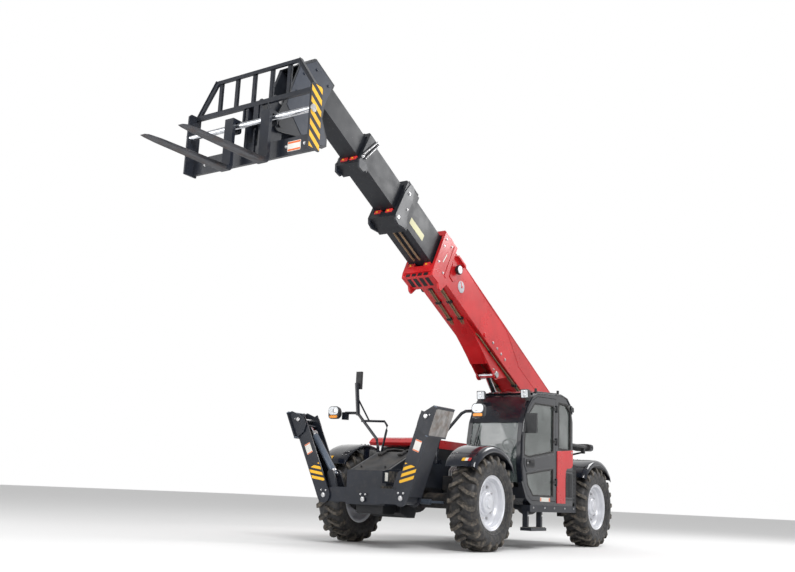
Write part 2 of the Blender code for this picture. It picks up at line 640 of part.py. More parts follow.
def build_stabiliser(name, machine):
    """Arm, foot and cylinder of one side; x is kept and y grows outwards."""
    side, front, pivot_y, pivot_z, foot_y, foot_z = STABILISERS[name]
    angle, length = lean(pivot_y, pivot_z, foot_y, foot_z)
    middle = front - ARM_DEPTH / 2
    turn = (-side * angle, 0.0, 0.0)

    def handed(mesh):
        return mesh if side > 0 else mirror_y(mesh)

    pivot = make_empty(name + "_stabiliser_pivot", (middle, side * pivot_y, pivot_z), turn,
                       machine)
    half, wide, plate = ARM_DEPTH / 2, ARM_HALF_WIDTH, ARM_PLATE
    channel = [(-half, -wide), (-half, wide), (half, wide), (half, -wide),
               (half - plate, -wide), (half - plate, wide - plate),
               (-half + plate, wide - plate), (-half + plate, -wide)]
    arm = [prism(channel, "z", 0.05, length + 0.04)]
    for x in (-half, half - plate):
        arm.append(prism(arc((0.0, 0.0), wide, 180, 360, 10) + [(wide, 0.06), (-wide, 0.06)],
                         "x", x, x + plate))
    eye_y, eye_z = -0.03, length - 0.10
    arm.append(rod((-half + 0.005, eye_y, eye_z), (half - 0.005, eye_y, eye_z), 0.018, 12))
    add_piece(name + "_stabiliser_arm", handed(combine(arm)), "black_paint", pivot)
    # foot: two cheeks outside the arm and a sole plate
    foot = make_empty(name + "_stabiliser_foot_pin", (0.0, 0.0, length), parent=pivot)
    cheek = [(0.125, -0.21), (0.125, 0.15), (0.06, 0.15), (-0.085, -0.005), (-0.085, -0.12),
             (-0.02, -0.185)]
    reach = half + 0.006
    pieces = [prism(cheek, "x", -reach - plate, -reach), prism(cheek, "x", reach, reach + plate),
              box(-reach - 0.045, reach + 0.045, 0.112, 0.130, -0.21, 0.155)]
    add_piece(name + "_stabiliser_foot", handed(combine(pieces)), "black_paint", foot)
    # cylinder: barrel on the frame's ears, rod towards the arm's eye
    ear_y, ear_z = STABILISER_EAR
    top_y = pivot_y + math.sin(angle) * eye_z + math.cos(angle) * eye_y
    top_z = pivot_z + math.cos(angle) * eye_z - math.sin(angle) * eye_y
    slope, reach = lean(ear_y, ear_z, top_y, top_z)
    base = make_empty(name + "_stabiliser_cylinder_pin", (middle, side * ear_y, ear_z),
                      (-side * slope, 0.0, 0.0), machine)
    barrel = lathe([(0.0, -0.03), (0.030, -0.02), (0.044, 0.03), (0.044, reach - 0.10),
                    (0.032, reach - 0.10), (0.032, 0.08), (0.0, 0.08)], "z", 16)
    add_piece(name + "_stabiliser_barrel", barrel, "black_paint", base)
    shaft = lathe([(0.0, 0.10), (0.024, 0.10), (0.024, reach - 0.028), (0.0, reach - 0.026)],
                  "z", 12)
    add_piece(name + "_stabiliser_rod", shaft, "chrome", base)


# ---------------------------------------------------------------- boom
def frame_ring(half_width, top, bottom, wall):
    """Outer and inner rectangles of a box section, as (y, z) outlines."""
    outer = [(-half_width, bottom), (half_width, bottom), (half_width, top),
             (-half_width, top)]
    return outer, inset_outline(outer, wall)


def box_section(name):
    """Hollow box section of the boom with its front collar."""
    half_width, top, bottom, rear, front = BOOM_SECTIONS[name]
    outer, inner = frame_ring(half_width, top, bottom, BOOM_WALL)
    solids = [prism(outer, "x", rear, front)]
    cuts = [prism(inner, "x", rear - 0.1, front + 0.1)]
    if name in BOOM_COLLARS:
        wide, high, low, start = BOOM_COLLARS[name]
        collar = [(-wide, low), (wide, low), (wide, high - 0.03), (wide - 0.03, high),
                  (-wide + 0.03, high), (-wide, high - 0.03)]
        solids.append(prism(collar, "x", start, front))
    return solids, cuts


def build_boom(machine):
    """Four box sections in the raised boom's own axes, pivoted at the tower."""
    pivot = make_empty("boom_pivot", BOOM_PIVOT, (0.0, -BOOM_ELEVATION, 0.0), machine)
    # base section: pivot bosses and the lift cylinder's lugs in a tapering box
    solids, cuts = box_section("boom_section_1")
    width = BOOM_SECTIONS["boom_section_1"][0]
    bottom = BOOM_SECTIONS["boom_section_1"][2]
    pin_s, pin_n = LUG_PIN
    solids.append(rod((0.0, -0.255, 0.0), (0.0, 0.255, 0.0), 0.07, 20))
    lug = [(pin_s - 0.35, bottom + 0.005)] + arc((pin_s, pin_n), 0.075, 200, 330, 8)
    lug += [(2.45, -0.20), (3.05, bottom + 0.005)]
    for low in (-0.150, 0.128):
        solids.append(prism(lug, "y", low, low + 0.022))
    belly = [(2.12, pin_n + 0.04), (2.14, pin_n - 0.01), (2.45, -0.20), (3.05, bottom + 0.005),
             (2.92, bottom + 0.005), (2.42, -0.17)]
    solids.append(prism(belly, "y", -0.140, 0.140))
    cuts.append(box(0.6, 4.3, -width + BOOM_WALL, width - BOOM_WALL, bottom + BOOM_WALL, 0.2))
    add_piece("boom_section_1", combine(solids, cuts), "red_paint", pivot)
    for name in ("boom_section_2", "boom_section_3"):
        solids, cuts = box_section(name)
        add_piece(name, combine(solids, cuts), "black_paint", pivot)
    # top section and its head: two side plates that reach down to the carriage pin
    solids, cuts = box_section("boom_section_4")
    half_width = BOOM_SECTIONS["boom_section_4"][0]
    base = Vector((BOOM_PIVOT[0], BOOM_PIVOT[2]))
    offset = Vector((CARRIAGE_PIN[0], CARRIAGE_PIN[2])) - base
    c, s = math.cos(BOOM_ELEVATION), math.sin(BOOM_ELEVATION)
    pin = (offset.x * c + offset.y * s, -offset.x * s + offset.y * c)
    cheek = [(6.92, 0.41), (7.33, 0.41), (7.50, 0.10), (7.44, -0.35)]
    cheek += arc(pin, 0.085, 10, -150, 8)
    cheek += [(7.02, -0.60), (6.66, -0.42), (6.62, -0.35), (6.66, -0.27), (6.86, -0.12),
              (6.90, 0.02)]
    for low in (-half_width - 0.022, half_width):
        solids.append(prism(cheek, "y", low, low + 0.022))
    solids.append(box(7.03, 7.34, -half_width - 0.01, half_width + 0.01, 0.385, 0.41))
    solids.append(prism([(7.33, 0.385), (7.33, 0.41), (7.50, 0.10), (7.478, 0.10)], "y",
                        -half_width - 0.01, half_width + 0.01))
    for side in (-1, 1):
        solids.append(rod((pin[0], side * (half_width - 0.006), pin[1]),
                          (pin[0], side * (half_width + 0.045), pin[1]), 0.035, 16))
    add_piece("boom_section_4", combine(solids, cuts), "black_paint", pivot)
    return pivot, pin


def build_lift_cylinder(machine):
    """Lift cylinder from the chassis seat to the base section's lugs."""
    c, s = math.cos(BOOM_ELEVATION), math.sin(BOOM_ELEVATION)
    pin_s, pin_n = LUG_PIN
    top_x = BOOM_PIVOT[0] + pin_s * c - pin_n * s
    top_z = BOOM_PIVOT[2] + pin_s * s + pin_n * c
    base_x, base_z = LIFT_BASE
    run, rise = top_x - base_x, top_z - base_z
    length = math.hypot(run, rise)
    slope = math.atan2(rise, run)
    base = make_empty("lift_cylinder_pin", (base_x, 0.0, base_z), (0.0, -slope, 0.0), machine)
    barrel = lathe([(-0.0, -0.07), (0.05, -0.06), (0.085, 0.0), (0.085, 1.34), (0.062, 1.34),
                    (0.062, 0.16), (0.0, 0.16)], "x", 20)
    add_piece("lift_cylinder_barrel", barrel, "black_paint", base)
    shaft = combine([rod((length - 1.30, 0.0, 0.0), (length, 0.0, 0.0), 0.045, 16),
                     rod((length, -0.118, 0.0), (length, 0.118, 0.0), 0.050, 16)])
    add_piece("lift_cylinder_rod", shaft, "chrome", base)


# ---------------------------------------------------------------- fork carriage
def build_carriage(machine, pin):
    """Fork frame with its backrest, the tilt cylinder and two floating forks."""
    centre = make_empty("carriage_pin", CARRIAGE_PIN, parent=machine)
    shift = Matrix.Translation(-Vector(CARRIAGE_PIN))
    half = FORK_FRAME_HALF_WIDTH
    shaft_x, shaft_z = FORK_SHAFT
    top_z, low_z = 4.76, 4.04
    pieces = []
    for side in (-1, 1):
        low, high = sorted((side * (half - 0.022), side * half))
        pieces.append(box(5.06, 5.245, low, high, low_z, top_z))
    pieces.append(box(5.07, 5.12, -half + 0.01, half - 0.01, low_z + 0.02, low_z + 0.185))
    pieces.append(box(5.09, 5.14, -half + 0.01, half - 0.01, top_z - 0.05, top_z))
    pieces.append(rod((shaft_x, -half + 0.005, shaft_z), (shaft_x, half - 0.005, shaft_z),
                      0.034, 16))
    # quick hitch: two plates on the carriage pin, outside the head's cheeks
    hitch = [(4.80, 4.20), (5.10, 4.07), (5.13, 4.25), (5.13, 4.74), (5.05, 4.74),
             (4.93, 4.90)] + arc((4.84, 4.865), 0.05, 40, 180, 5)
    hitch += arc((CARRIAGE_PIN[0], CARRIAGE_PIN[2]), 0.10, 150, 210, 4)
    for side in (-1, 1):
        low, high = sorted((side * 0.085, side * 0.115))
        pieces.append(prism(hitch, "y", low, high))
    pieces.append(box(5.06, 5.11, -0.112, 0.112, 4.06, 4.30))
    pieces.append(rod((4.84, -0.09, 4.865), (4.84, 0.09, 4.865), 0.022, 12))
    # backrest: sloping ends, top bar and five uprights
    crown, crown_z = 0.616, 5.14
    for side in (-1, 1):
        outline = [(side * (half - 0.01), top_z - 0.03), (side * (half - 0.07), top_z - 0.03),
                   (side * (crown - 0.05), crown_z - 0.03), (side * crown, crown_z)]
        pieces.append(prism(outline, "x", 5.10, 5.13))
    pieces.append(box(5.10, 5.13, -crown, crown, crown_z - 0.045, crown_z))
    for y in (-0.56, -0.31, -0.05, 0.21, 0.46):
        pieces.append(box(5.102, 5.128, y - 0.024, y + 0.024, top_z - 0.03, crown_z - 0.02))
    frame = combine(pieces)
    frame.transform(shift)
    add_piece("fork_carriage", frame, "black_paint", centre)
    # forks: hook round the shaft, shank and tapering blade
    for name, y in (("right_fork", -0.21), ("left_fork", 0.32)):
        face = shaft_x + 0.0373
        heel = face + 0.045
        outline = [(face, shaft_z - 0.09), (face, FORK_HEEL_Z + 0.06), (face + 0.02, FORK_HEEL_Z),
                   (FRONT_END_X, FORK_HEEL_Z + 0.008), (FRONT_END_X, FORK_HEEL_Z + 0.020),
                   (heel + 0.30, FORK_HEEL_Z + 0.045), (heel + 0.02, FORK_HEEL_Z + 0.050),
                   (heel, FORK_HEEL_Z + 0.075), (heel, shaft_z + 0.075),
                   (shaft_x - 0.030, shaft_z + 0.075), (shaft_x - 0.055, shaft_z + 0.05),
                   (shaft_x - 0.055, shaft_z - 0.03)]
        bore = rod((shaft_x, y - 0.2, shaft_z), (shaft_x, y + 0.2, shaft_z), 0.036, 16)
        outline[-1:] = [(shaft_x - 0.055, shaft_z - 0.06), (shaft_x - 0.03, shaft_z - 0.09)]
        fork = combine([prism(outline, "y", y - 0.062, y + 0.062)], [bore])
        fork.transform(shift)
        add_piece(name, fork, "worn_steel", centre)
    return pin


def build_tilt_cylinder(machine):
    """Tilt cylinder from the boom head to the fork carriage's upper pin."""
    start = Vector((4.11, 0.0, 4.62))
    end = Vector((4.84, 0.0, 4.865))
    run = end - start
    length = run.length
    slope = math.atan2(run.z, run.x)
    base = make_empty("tilt_cylinder_pin", start, (0.0, -slope, 0.0), machine)
    barrel = lathe([(0.0, -0.03), (0.03, -0.02), (0.05, 0.03), (0.05, 0.43), (0.034, 0.43),
                    (0.034, 0.08), (0.0, 0.08)], "x", 16)
    add_piece("tilt_cylinder_barrel", barrel, "black_paint", base)
    shaft = rod((length - 0.40, 0.0, 0.0), (length - 0.034, 0.0, 0.0), 0.024, 12)
    add_piece("tilt_cylinder_rod", shaft, "chrome", base)


def main():
    """Build the whole machine."""
    clear_scene()
    machine = make_empty("machine", (-ORIGIN_X, 0.0, 0.0))
    build_chassis(machine)
    build_running_gear(machine)
    build_cab(machine)
    build_engine_side(machine)
    build_lamps(machine)
    for name in STABILISERS:
        build_stabiliser(name, machine)
    _, pin = build_boom(machine)
    build_lift_cylinder(machine)
    build_carriage(machine, pin)
    build_tilt_cylinder(machine)


main()
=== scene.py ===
"""Telehandler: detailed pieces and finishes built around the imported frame.

Every class is one sub-assembly of the machine.  Sizes are in metres, in the machine's own
axes: X forward, Y to the cab side, Z up.  The boom, the stabilisers and the wheels have
axes of their own, which a Stock takes as its place.
"""

import json
import logging
import math
from dataclasses import dataclass
from enum import Enum
from typing import Sequence

import bmesh
import bpy
from mathutils import Matrix, Vector

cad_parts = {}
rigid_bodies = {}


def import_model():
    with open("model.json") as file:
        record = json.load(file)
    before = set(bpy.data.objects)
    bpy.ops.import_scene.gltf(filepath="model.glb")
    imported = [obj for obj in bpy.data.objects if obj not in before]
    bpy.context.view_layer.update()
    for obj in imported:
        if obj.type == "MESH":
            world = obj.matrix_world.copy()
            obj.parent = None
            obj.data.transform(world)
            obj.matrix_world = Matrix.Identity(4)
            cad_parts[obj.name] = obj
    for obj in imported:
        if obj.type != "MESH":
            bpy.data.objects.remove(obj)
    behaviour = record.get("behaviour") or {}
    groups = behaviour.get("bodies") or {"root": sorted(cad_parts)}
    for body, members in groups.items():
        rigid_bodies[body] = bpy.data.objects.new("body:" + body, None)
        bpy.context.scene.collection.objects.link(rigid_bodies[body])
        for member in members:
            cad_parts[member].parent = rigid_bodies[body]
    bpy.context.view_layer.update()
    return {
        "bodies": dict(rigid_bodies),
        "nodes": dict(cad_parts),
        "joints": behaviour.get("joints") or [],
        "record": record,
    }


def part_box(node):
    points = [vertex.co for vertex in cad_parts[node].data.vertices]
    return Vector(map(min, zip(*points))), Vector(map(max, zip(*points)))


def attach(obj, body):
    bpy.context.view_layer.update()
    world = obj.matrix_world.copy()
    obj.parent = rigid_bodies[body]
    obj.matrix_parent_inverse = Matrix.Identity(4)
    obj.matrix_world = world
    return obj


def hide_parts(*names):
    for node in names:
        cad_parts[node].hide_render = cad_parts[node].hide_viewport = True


LOG = logging.getLogger("telehandler")

Point2 = tuple[float, float]
Point3 = tuple[float, float, float]
Colour = tuple[float, float, float]


class Axis(Enum):
    """Axis of a Stock's own place that a shape is turned about or drawn along."""
    X = 0
    Y = 1
    Z = 2


# ---------------------------------------------------------------- node trees
class Tree:
    """Node tree of one new material, with short calls that add and link its nodes."""

    def __init__(self, name: str) -> None:
        """Start a material with a Principled shader and object coordinates.

        Args:
            name: the material's name.
        """
        self.material = bpy.data.materials.new(name)
        self.material.use_nodes = True
        self.nodes = self.material.node_tree.nodes
        self.links = self.material.node_tree.links
        self.shader = self.nodes["Principled BSDF"]
        self.coords = self.nodes.new("ShaderNodeTexCoord")

    def link(self, source: bpy.types.NodeSocket, target: bpy.types.NodeSocket) -> None:
        """Join two sockets."""
        self.links.new(source, target)

    def noise(self, scale: float, detail: float = 4.0, stretch: Point3 = (1.0, 1.0, 1.0),
            offset: float = 0.0) -> bpy.types.NodeSocket:
        """Noise in object space.

        Args:
            scale: number of features in a metre.
            detail: octaves of the noise.
            stretch: factor on each axis; a small one draws the features out.
            offset: shift that keeps two noises apart.

        Returns:
            The noise value's socket.
        """
        mapping = self.nodes.new("ShaderNodeMapping")
        mapping.inputs["Scale"].default_value = stretch
        mapping.inputs["Location"].default_value = (offset, offset * 0.7, offset * 0.3)
        texture = self.nodes.new("ShaderNodeTexNoise")
        texture.inputs["Scale"].default_value = scale
        texture.inputs["Detail"].default_value = detail
        self.link(self.coords.outputs["Object"], mapping.inputs["Vector"])
        self.link(mapping.outputs["Vector"], texture.inputs["Vector"])
        return texture.outputs["Fac"]

    def facing(self, axis: Axis) -> bpy.types.NodeSocket:
        """How far the surface faces along an axis of the object, from -1 to 1.

        Args:
            axis: axis to compare with.

        Returns:
            Socket with the share.
        """
        split = self.nodes.new("ShaderNodeSeparateXYZ")
        self.link(self.coords.outputs["Normal"], split.inputs["Vector"])
        return split.outputs[axis.value]

    def spread(self, value: bpy.types.NodeSocket, low: float, high: float, out_low: float = 0.0,
            out_high: float = 1.0) -> bpy.types.NodeSocket:
        """Map a value's range onto another, clamped.

        Args:
            value: socket to map.
            low: value that gives out_low.
            high: value that gives out_high.
            out_low: result at and below low.
            out_high: result at and above high.

        Returns:
            The mapped value's socket.
        """
        node = self.nodes.new("ShaderNodeMapRange")
        node.inputs["From Min"].default_value = low
        node.inputs["From Max"].default_value = high
        node.inputs["To Min"].default_value = out_low
        node.inputs["To Max"].default_value = out_high
        self.link(value, node.inputs["Value"])
        return node.outputs["Result"]

    def times(self, first: bpy.types.NodeSocket,
            second: bpy.types.NodeSocket | float) -> bpy.types.NodeSocket:
        """Product of a socket with another socket or a number.

        Args:
            first: a socket.
            second: a socket or a number.

        Returns:
            Socket with the product.
        """
        node = self.nodes.new("ShaderNodeMath")
        node.operation = "MULTIPLY"
        self.link(first, node.inputs[0])
        if isinstance(second, float):
            node.inputs[1].default_value = second
        else:
            self.link(second, node.inputs[1])
        return node.outputs["Value"]

    def plus(self, first: bpy.types.NodeSocket, second: bpy.types.NodeSocket) -> bpy.types.NodeSocket:
        """Sum of two sockets.

        Args:
            first: a socket.
            second: the other socket.

        Returns:
            Socket with the sum.
        """
        node = self.nodes.new("ShaderNodeMath")
        node.operation = "ADD"
        self.link(first, node.inputs[0])
        self.link(second, node.inputs[1])
        return node.outputs["Value"]

    def blend(self, factor: bpy.types.NodeSocket, first: bpy.types.NodeSocket | Colour,
            second: bpy.types.NodeSocket | Colour) -> bpy.types.NodeSocket:
        """Colour between two, each a socket or a plain colour.

        Args:
            factor: share of the second colour.
            first: colour at factor 0.
            second: colour at factor 1.

        Returns:
            The mixed colour's socket.
        """
        node = self.nodes.new("ShaderNodeMix")
        node.data_type = "RGBA"
        self.link(factor, node.inputs["Factor"])
        for value, socket in ((first, node.inputs[6]), (second, node.inputs[7])):
            if isinstance(value, tuple):
                socket.default_value = (*value, 1.0)
            else:
                self.link(value, socket)
        return node.outputs[2]

    def bump(self, height: bpy.types.NodeSocket, strength: float, distance: float) -> None:
        """Raise the surface by a height socket; a later call goes on top of an earlier one.

        Args:
            height: socket that gives the height.
            strength: how strongly it shows.
            distance: height in metres of its full range.
        """
        node = self.nodes.new("ShaderNodeBump")
        node.inputs["Strength"].default_value = strength
        node.inputs["Distance"].default_value = distance
        self.link(height, node.inputs["Height"])
        normal = self.shader.inputs["Normal"]
        if normal.is_linked:
            self.link(normal.links[0].from_socket, node.inputs["Normal"])
        self.link(node.outputs["Normal"], normal)


def shaded(colour: Colour, factor: float) -> Colour:
    """Colour made darker or lighter by a factor."""
    return tuple(min(1.0, channel * factor) for channel in colour)


# ---------------------------------------------------------------- finishes
STEEL_GREY: Colour = (0.30, 0.30, 0.31)
ROAD_DUST: Colour = (0.30, 0.25, 0.19)


@dataclass(frozen=True)
class Paint:
    """Sprayed paint on steel: cloudy tone, settled dust, runs of grime and chips."""
    name: str
    slot: str
    colour: Colour
    roughness: float = 0.35
    dust: float = 0.15
    chips: float = 0.10
    coat: float = 0.0
    metallic: float = 0.0
    dust_colour: Colour = ROAD_DUST

    def material(self) -> bpy.types.Material:
        """Build the paint's material.

        Returns:
            The material.
        """
        tree = Tree(self.name)
        tone = tree.spread(tree.noise(2.2, 5.0), 0.35, 0.65)
        colour = tree.blend(tone, shaded(self.colour, 0.86), shaded(self.colour, 1.10))
        runs = tree.spread(tree.noise(9.0, 5.0, (1.0, 1.0, 0.12), 4.0), 0.60, 0.78, 0.0, 0.35)
        colour = tree.blend(tree.times(runs, self.dust + 0.1), colour, shaded(self.colour, 0.45))
        upward = tree.spread(tree.facing(Axis.Z), 0.1, 0.95)
        patches = tree.spread(tree.noise(7.0, 6.0, offset=2.0), 0.42, 0.72)
        dust = tree.times(tree.times(upward, patches), self.dust)
        haze = tree.times(tree.spread(tree.noise(14.0, 6.0, offset=7.0), 0.50, 0.80), self.dust * 0.35)
        dirt = tree.plus(dust, haze)
        colour = tree.blend(dirt, colour, self.dust_colour)
        chips = tree.times(tree.spread(tree.noise(75.0, 3.0, offset=9.0), 0.705, 0.73), self.chips)
        colour = tree.blend(chips, colour, STEEL_GREY)
        tree.link(colour, tree.shader.inputs["Base Color"])
        polish = tree.spread(tree.noise(5.0, 6.0, offset=5.0), 0.3, 0.7, max(0.05, self.roughness - 0.07),
                self.roughness + 0.09)
        tree.link(tree.plus(polish, tree.times(dirt, 0.5)), tree.shader.inputs["Roughness"])
        tree.shader.inputs["Metallic"].default_value = self.metallic
        tree.shader.inputs["Coat Weight"].default_value = self.coat
        tree.shader.inputs["Coat Roughness"].default_value = 0.08
        tree.shader.inputs["Specular IOR Level"].default_value = 0.35
        tree.bump(tree.noise(240.0, 2.0), 0.05, 0.001)
        tree.bump(tree.noise(3.0, 2.0, offset=3.0), 0.05, 0.01)
        return tree.material


@dataclass(frozen=True)
class Metal:
    """Bare metal: turned, drawn or worn, with fine scratches along one axis."""
    name: str
    slot: str
    colour: Colour
    roughness: float = 0.25
    scratch: float = 0.3
    rust: float = 0.0
    grain: Point3 = (1.0, 1.0, 1.0)
    rust_colour: Colour = (0.16, 0.075, 0.035)

    def material(self) -> bpy.types.Material:
        """Build the metal's material.

        Returns:
            The material.
        """
        tree = Tree(self.name)
        tone = tree.spread(tree.noise(18.0, 6.0, self.grain), 0.35, 0.68)
        colour = tree.blend(tone, shaded(self.colour, 0.70), shaded(self.colour, 1.12))
        rust = tree.times(tree.spread(tree.noise(11.0, 7.0, offset=6.0), 0.48, 0.66), self.rust)
        colour = tree.blend(rust, colour, self.rust_colour)
        tree.link(colour, tree.shader.inputs["Base Color"])
        tree.shader.inputs["Metallic"].default_value = 1.0 if self.rust < 0.3 else 0.8
        rough = tree.spread(tree.noise(60.0, 4.0, self.grain, 2.0), 0.3, 0.7,
                max(0.04, self.roughness - 0.06), self.roughness + 0.12)
        tree.link(tree.plus(rough, tree.times(rust, 0.4)), tree.shader.inputs["Roughness"])
        tree.bump(tree.noise(150.0, 3.0, self.grain, 1.0), self.scratch * 0.25, 0.001)
        return tree.material


@dataclass(frozen=True)
class Rubber:
    """Vulcanised rubber with scuffs and patches of dried mud."""
    name: str
    slot: str
    colour: Colour
    mud: float = 0.3
    roughness: float = 0.72

    def material(self) -> bpy.types.Material:
        """Build the rubber's material.

        Returns:
            The material.
        """
        tree = Tree(self.name)
        tone = tree.spread(tree.noise(12.0, 7.0), 0.35, 0.68)
        colour = tree.blend(tone, shaded(self.colour, 0.65), shaded(self.colour, 1.5))
        mud = tree.times(tree.spread(tree.noise(22.0, 8.0, offset=3.0), 0.44, 0.66), self.mud)
        colour = tree.blend(mud, colour, ROAD_DUST)
        tree.link(colour, tree.shader.inputs["Base Color"])
        tree.link(tree.spread(tree.noise(30.0, 5.0, offset=8.0), 0.3, 0.7, self.roughness - 0.12,
                self.roughness + 0.15), tree.shader.inputs["Roughness"])
        tree.bump(tree.noise(130.0, 5.0), 0.25, 0.002)
        return tree.material


@dataclass(frozen=True)
class Glazing:
    """Tinted safety glass with a film of dust."""
    name: str
    slot: str
    colour: Colour
    alpha: float = 0.45

    def material(self) -> bpy.types.Material:
        """Build the glass's material.

        Returns:
            The material.
        """
        tree = Tree(self.name)
        film = tree.spread(tree.noise(3.0, 6.0), 0.35, 0.75)
        tree.link(tree.blend(tree.times(film, 0.35), self.colour, (0.34, 0.37, 0.36)),
                tree.shader.inputs["Base Color"])
        tree.link(tree.spread(film, 0.0, 1.0, 0.02, 0.10), tree.shader.inputs["Roughness"])
        tree.link(tree.spread(film, 0.0, 1.0, self.alpha - 0.05, self.alpha + 0.12),
                tree.shader.inputs["Alpha"])
        tree.shader.inputs["Specular IOR Level"].default_value = 0.9
        tree.shader.inputs["Coat Weight"].default_value = 1.0
        tree.shader.inputs["Coat Roughness"].default_value = 0.02
        return tree.material


@dataclass(frozen=True)
class Plastic:
    """Moulded plastic with a fine grain."""
    name: str
    slot: str
    colour: Colour
    roughness: float = 0.5
    grain: float = 0.25

    def material(self) -> bpy.types.Material:
        """Build the plastic's material.

        Returns:
            The material.
        """
        tree = Tree(self.name)
        tone = tree.spread(tree.noise(9.0, 4.0), 0.35, 0.65)
        tree.link(tree.blend(tone, shaded(self.colour, 0.85), shaded(self.colour, 1.15)),
                tree.shader.inputs["Base Color"])
        tree.link(tree.spread(tree.noise(25.0, 4.0, offset=2.0), 0.3, 0.7, max(0.05, self.roughness - 0.08),
                self.roughness + 0.10), tree.shader.inputs["Roughness"])
        tree.bump(tree.noise(320.0, 2.0), self.grain, 0.001)
        return tree.material


@dataclass(frozen=True)
class Cloth:
    """Woven seat fabric: crossed threads, a soft sheen and lint."""
    name: str
    slot: str
    colour: Colour

    def material(self) -> bpy.types.Material:
        """Build the fabric's material.

        Returns:
            The material.
        """
        tree = Tree(self.name)
        warp = tree.nodes.new("ShaderNodeTexWave")
        weft = tree.nodes.new("ShaderNodeTexWave")
        weft.bands_direction = "Y"
        for wave in (warp, weft):
            wave.inputs["Scale"].default_value = 120.0
            wave.inputs["Distortion"].default_value = 1.5
            tree.link(tree.coords.outputs["Object"], wave.inputs["Vector"])
        weave = tree.times(warp.outputs["Fac"], weft.outputs["Fac"])
        lint = tree.spread(tree.noise(40.0, 6.0), 0.4, 0.7)
        colour = tree.blend(weave, shaded(self.colour, 0.6), shaded(self.colour, 1.4))
        tree.link(tree.blend(tree.times(lint, 0.25), colour, (0.20, 0.20, 0.21)),
                tree.shader.inputs["Base Color"])
        tree.shader.inputs["Roughness"].default_value = 0.85
        tree.shader.inputs["Sheen Weight"].default_value = 0.4
        tree.bump(weave, 0.4, 0.001)
        return tree.material


RED = Paint("boom_red", "red_paint", (0.56, 0.014, 0.018), 0.30, 0.07, 0.05, 0.25)
SLATE = Paint("slate_black", "black_paint", (0.013, 0.016, 0.024), 0.36, 0.12, 0.20, 0.10)
SECTION_BLACK = Paint("section_black", "black_paint", (0.013, 0.015, 0.020), 0.40, 0.14, 0.45, 0.0, 0.0,
        (0.13, 0.14, 0.14))
HEAD_BLUE = Paint("head_slate", "black_paint", (0.022, 0.029, 0.046), 0.32, 0.12, 0.25, 0.15)
GUARD = Paint("mudguard_gloss", "gloss_black", (0.006, 0.009, 0.018), 0.16, 0.10, 0.04, 0.6)
CAB_BLACK = Paint("cab_gloss", "gloss_black", (0.008, 0.010, 0.016), 0.20, 0.08, 0.05, 0.5)
DEEP_BLACK = Paint("chassis_black", "black_paint", (0.008, 0.009, 0.012), 0.46, 0.12, 0.15)
SILVER = Paint("rim_silver", "silver_paint", (0.70, 0.71, 0.75), 0.34, 0.12, 0.10, 0.1, 0.25)
CASTING = Paint("axle_casting", "cast_iron", (0.030, 0.030, 0.033), 0.60, 0.45, 0.30)
WARNING = Paint("warning_yellow", "black_paint", (0.85, 0.46, 0.02), 0.40, 0.15, 0.15)
CYLINDER = Paint("cylinder_grey", "black_paint", (0.10, 0.125, 0.165), 0.32, 0.12, 0.12, 0.1)
WHITE_LABEL = Paint("blank_label", "black_paint", (0.78, 0.77, 0.72), 0.45, 0.20, 0.02)
ORANGE_LABEL = Paint("label_edge", "black_paint", (0.80, 0.16, 0.03), 0.45, 0.15, 0.02)
CREAM_LABEL = Paint("faded_label", "black_paint", (0.62, 0.60, 0.38), 0.55, 0.25, 0.05)
PIPE_BROWN = Paint("pipe_brown", "cast_iron", (0.22, 0.145, 0.085), 0.42, 0.25, 0.15)
GAUGE_GREY = Paint("gauge_grey", "silver_paint", (0.55, 0.56, 0.60), 0.40, 0.15, 0.05)
CHROME = Metal("chrome_rod", "chrome", (0.74, 0.76, 0.80), 0.10, 0.15, 0.0, (0.05, 1.0, 1.0))
ZINC = Metal("zinc_bolt", "worn_steel", (0.62, 0.62, 0.63), 0.30, 0.35, 0.12)
WORN = Metal("worn_plate", "worn_steel", (0.34, 0.33, 0.32), 0.36, 0.9, 0.35, (1.0, 1.0, 0.3))
FORK_STEEL = Metal("fork_steel", "worn_steel", (0.115, 0.118, 0.13), 0.40, 0.8, 0.22, (0.15, 1.0, 1.0))
MIRROR_GLASS = Metal("mirror_glass", "chrome", (0.70, 0.72, 0.75), 0.06, 0.05)
TREAD = Rubber("tyre_tread", "tyre_rubber", (0.062, 0.056, 0.050), 0.42, 0.78)
SIDEWALL = Rubber("tyre_sidewall", "tyre_rubber", (0.020, 0.020, 0.022), 0.12, 0.52)
GROOVE = Rubber("tyre_groove", "tyre_rubber", (0.026, 0.025, 0.024), 0.30, 0.85)
SEAL = Rubber("window_seal", "tyre_rubber", (0.012, 0.012, 0.013), 0.06, 0.65)
TINT = Glazing("cab_glass", "tinted_glass", (0.055, 0.085, 0.085), 0.32)
SIDE_TINT = Glazing("side_glass", "tinted_glass", (0.030, 0.045, 0.040), 0.72)
BLACK_PLASTIC = Plastic("black_plastic", "black_paint", (0.022, 0.023, 0.025), 0.48, 0.35)
RED_PLASTIC = Plastic("red_plastic", "red_paint", (0.62, 0.03, 0.03), 0.40, 0.15)
AMBER = Plastic("amber_lens", "lamp_glass", (0.85, 0.30, 0.02), 0.18, 0.05)
RED_LENS = Plastic("red_lens", "lamp_glass", (0.55, 0.02, 0.02), 0.16, 0.05)
CLEAR_LENS = Plastic("clear_lens", "lamp_glass", (0.80, 0.83, 0.86), 0.10, 0.03)
REFLECTOR = Metal("lamp_reflector", "chrome", (0.85, 0.86, 0.88), 0.12, 0.1)
SEAT_CLOTH = Cloth("seat_weave", "seat_vinyl", (0.045, 0.055, 0.075))

Finish = Paint | Metal | Rubber | Glazing | Plastic | Cloth


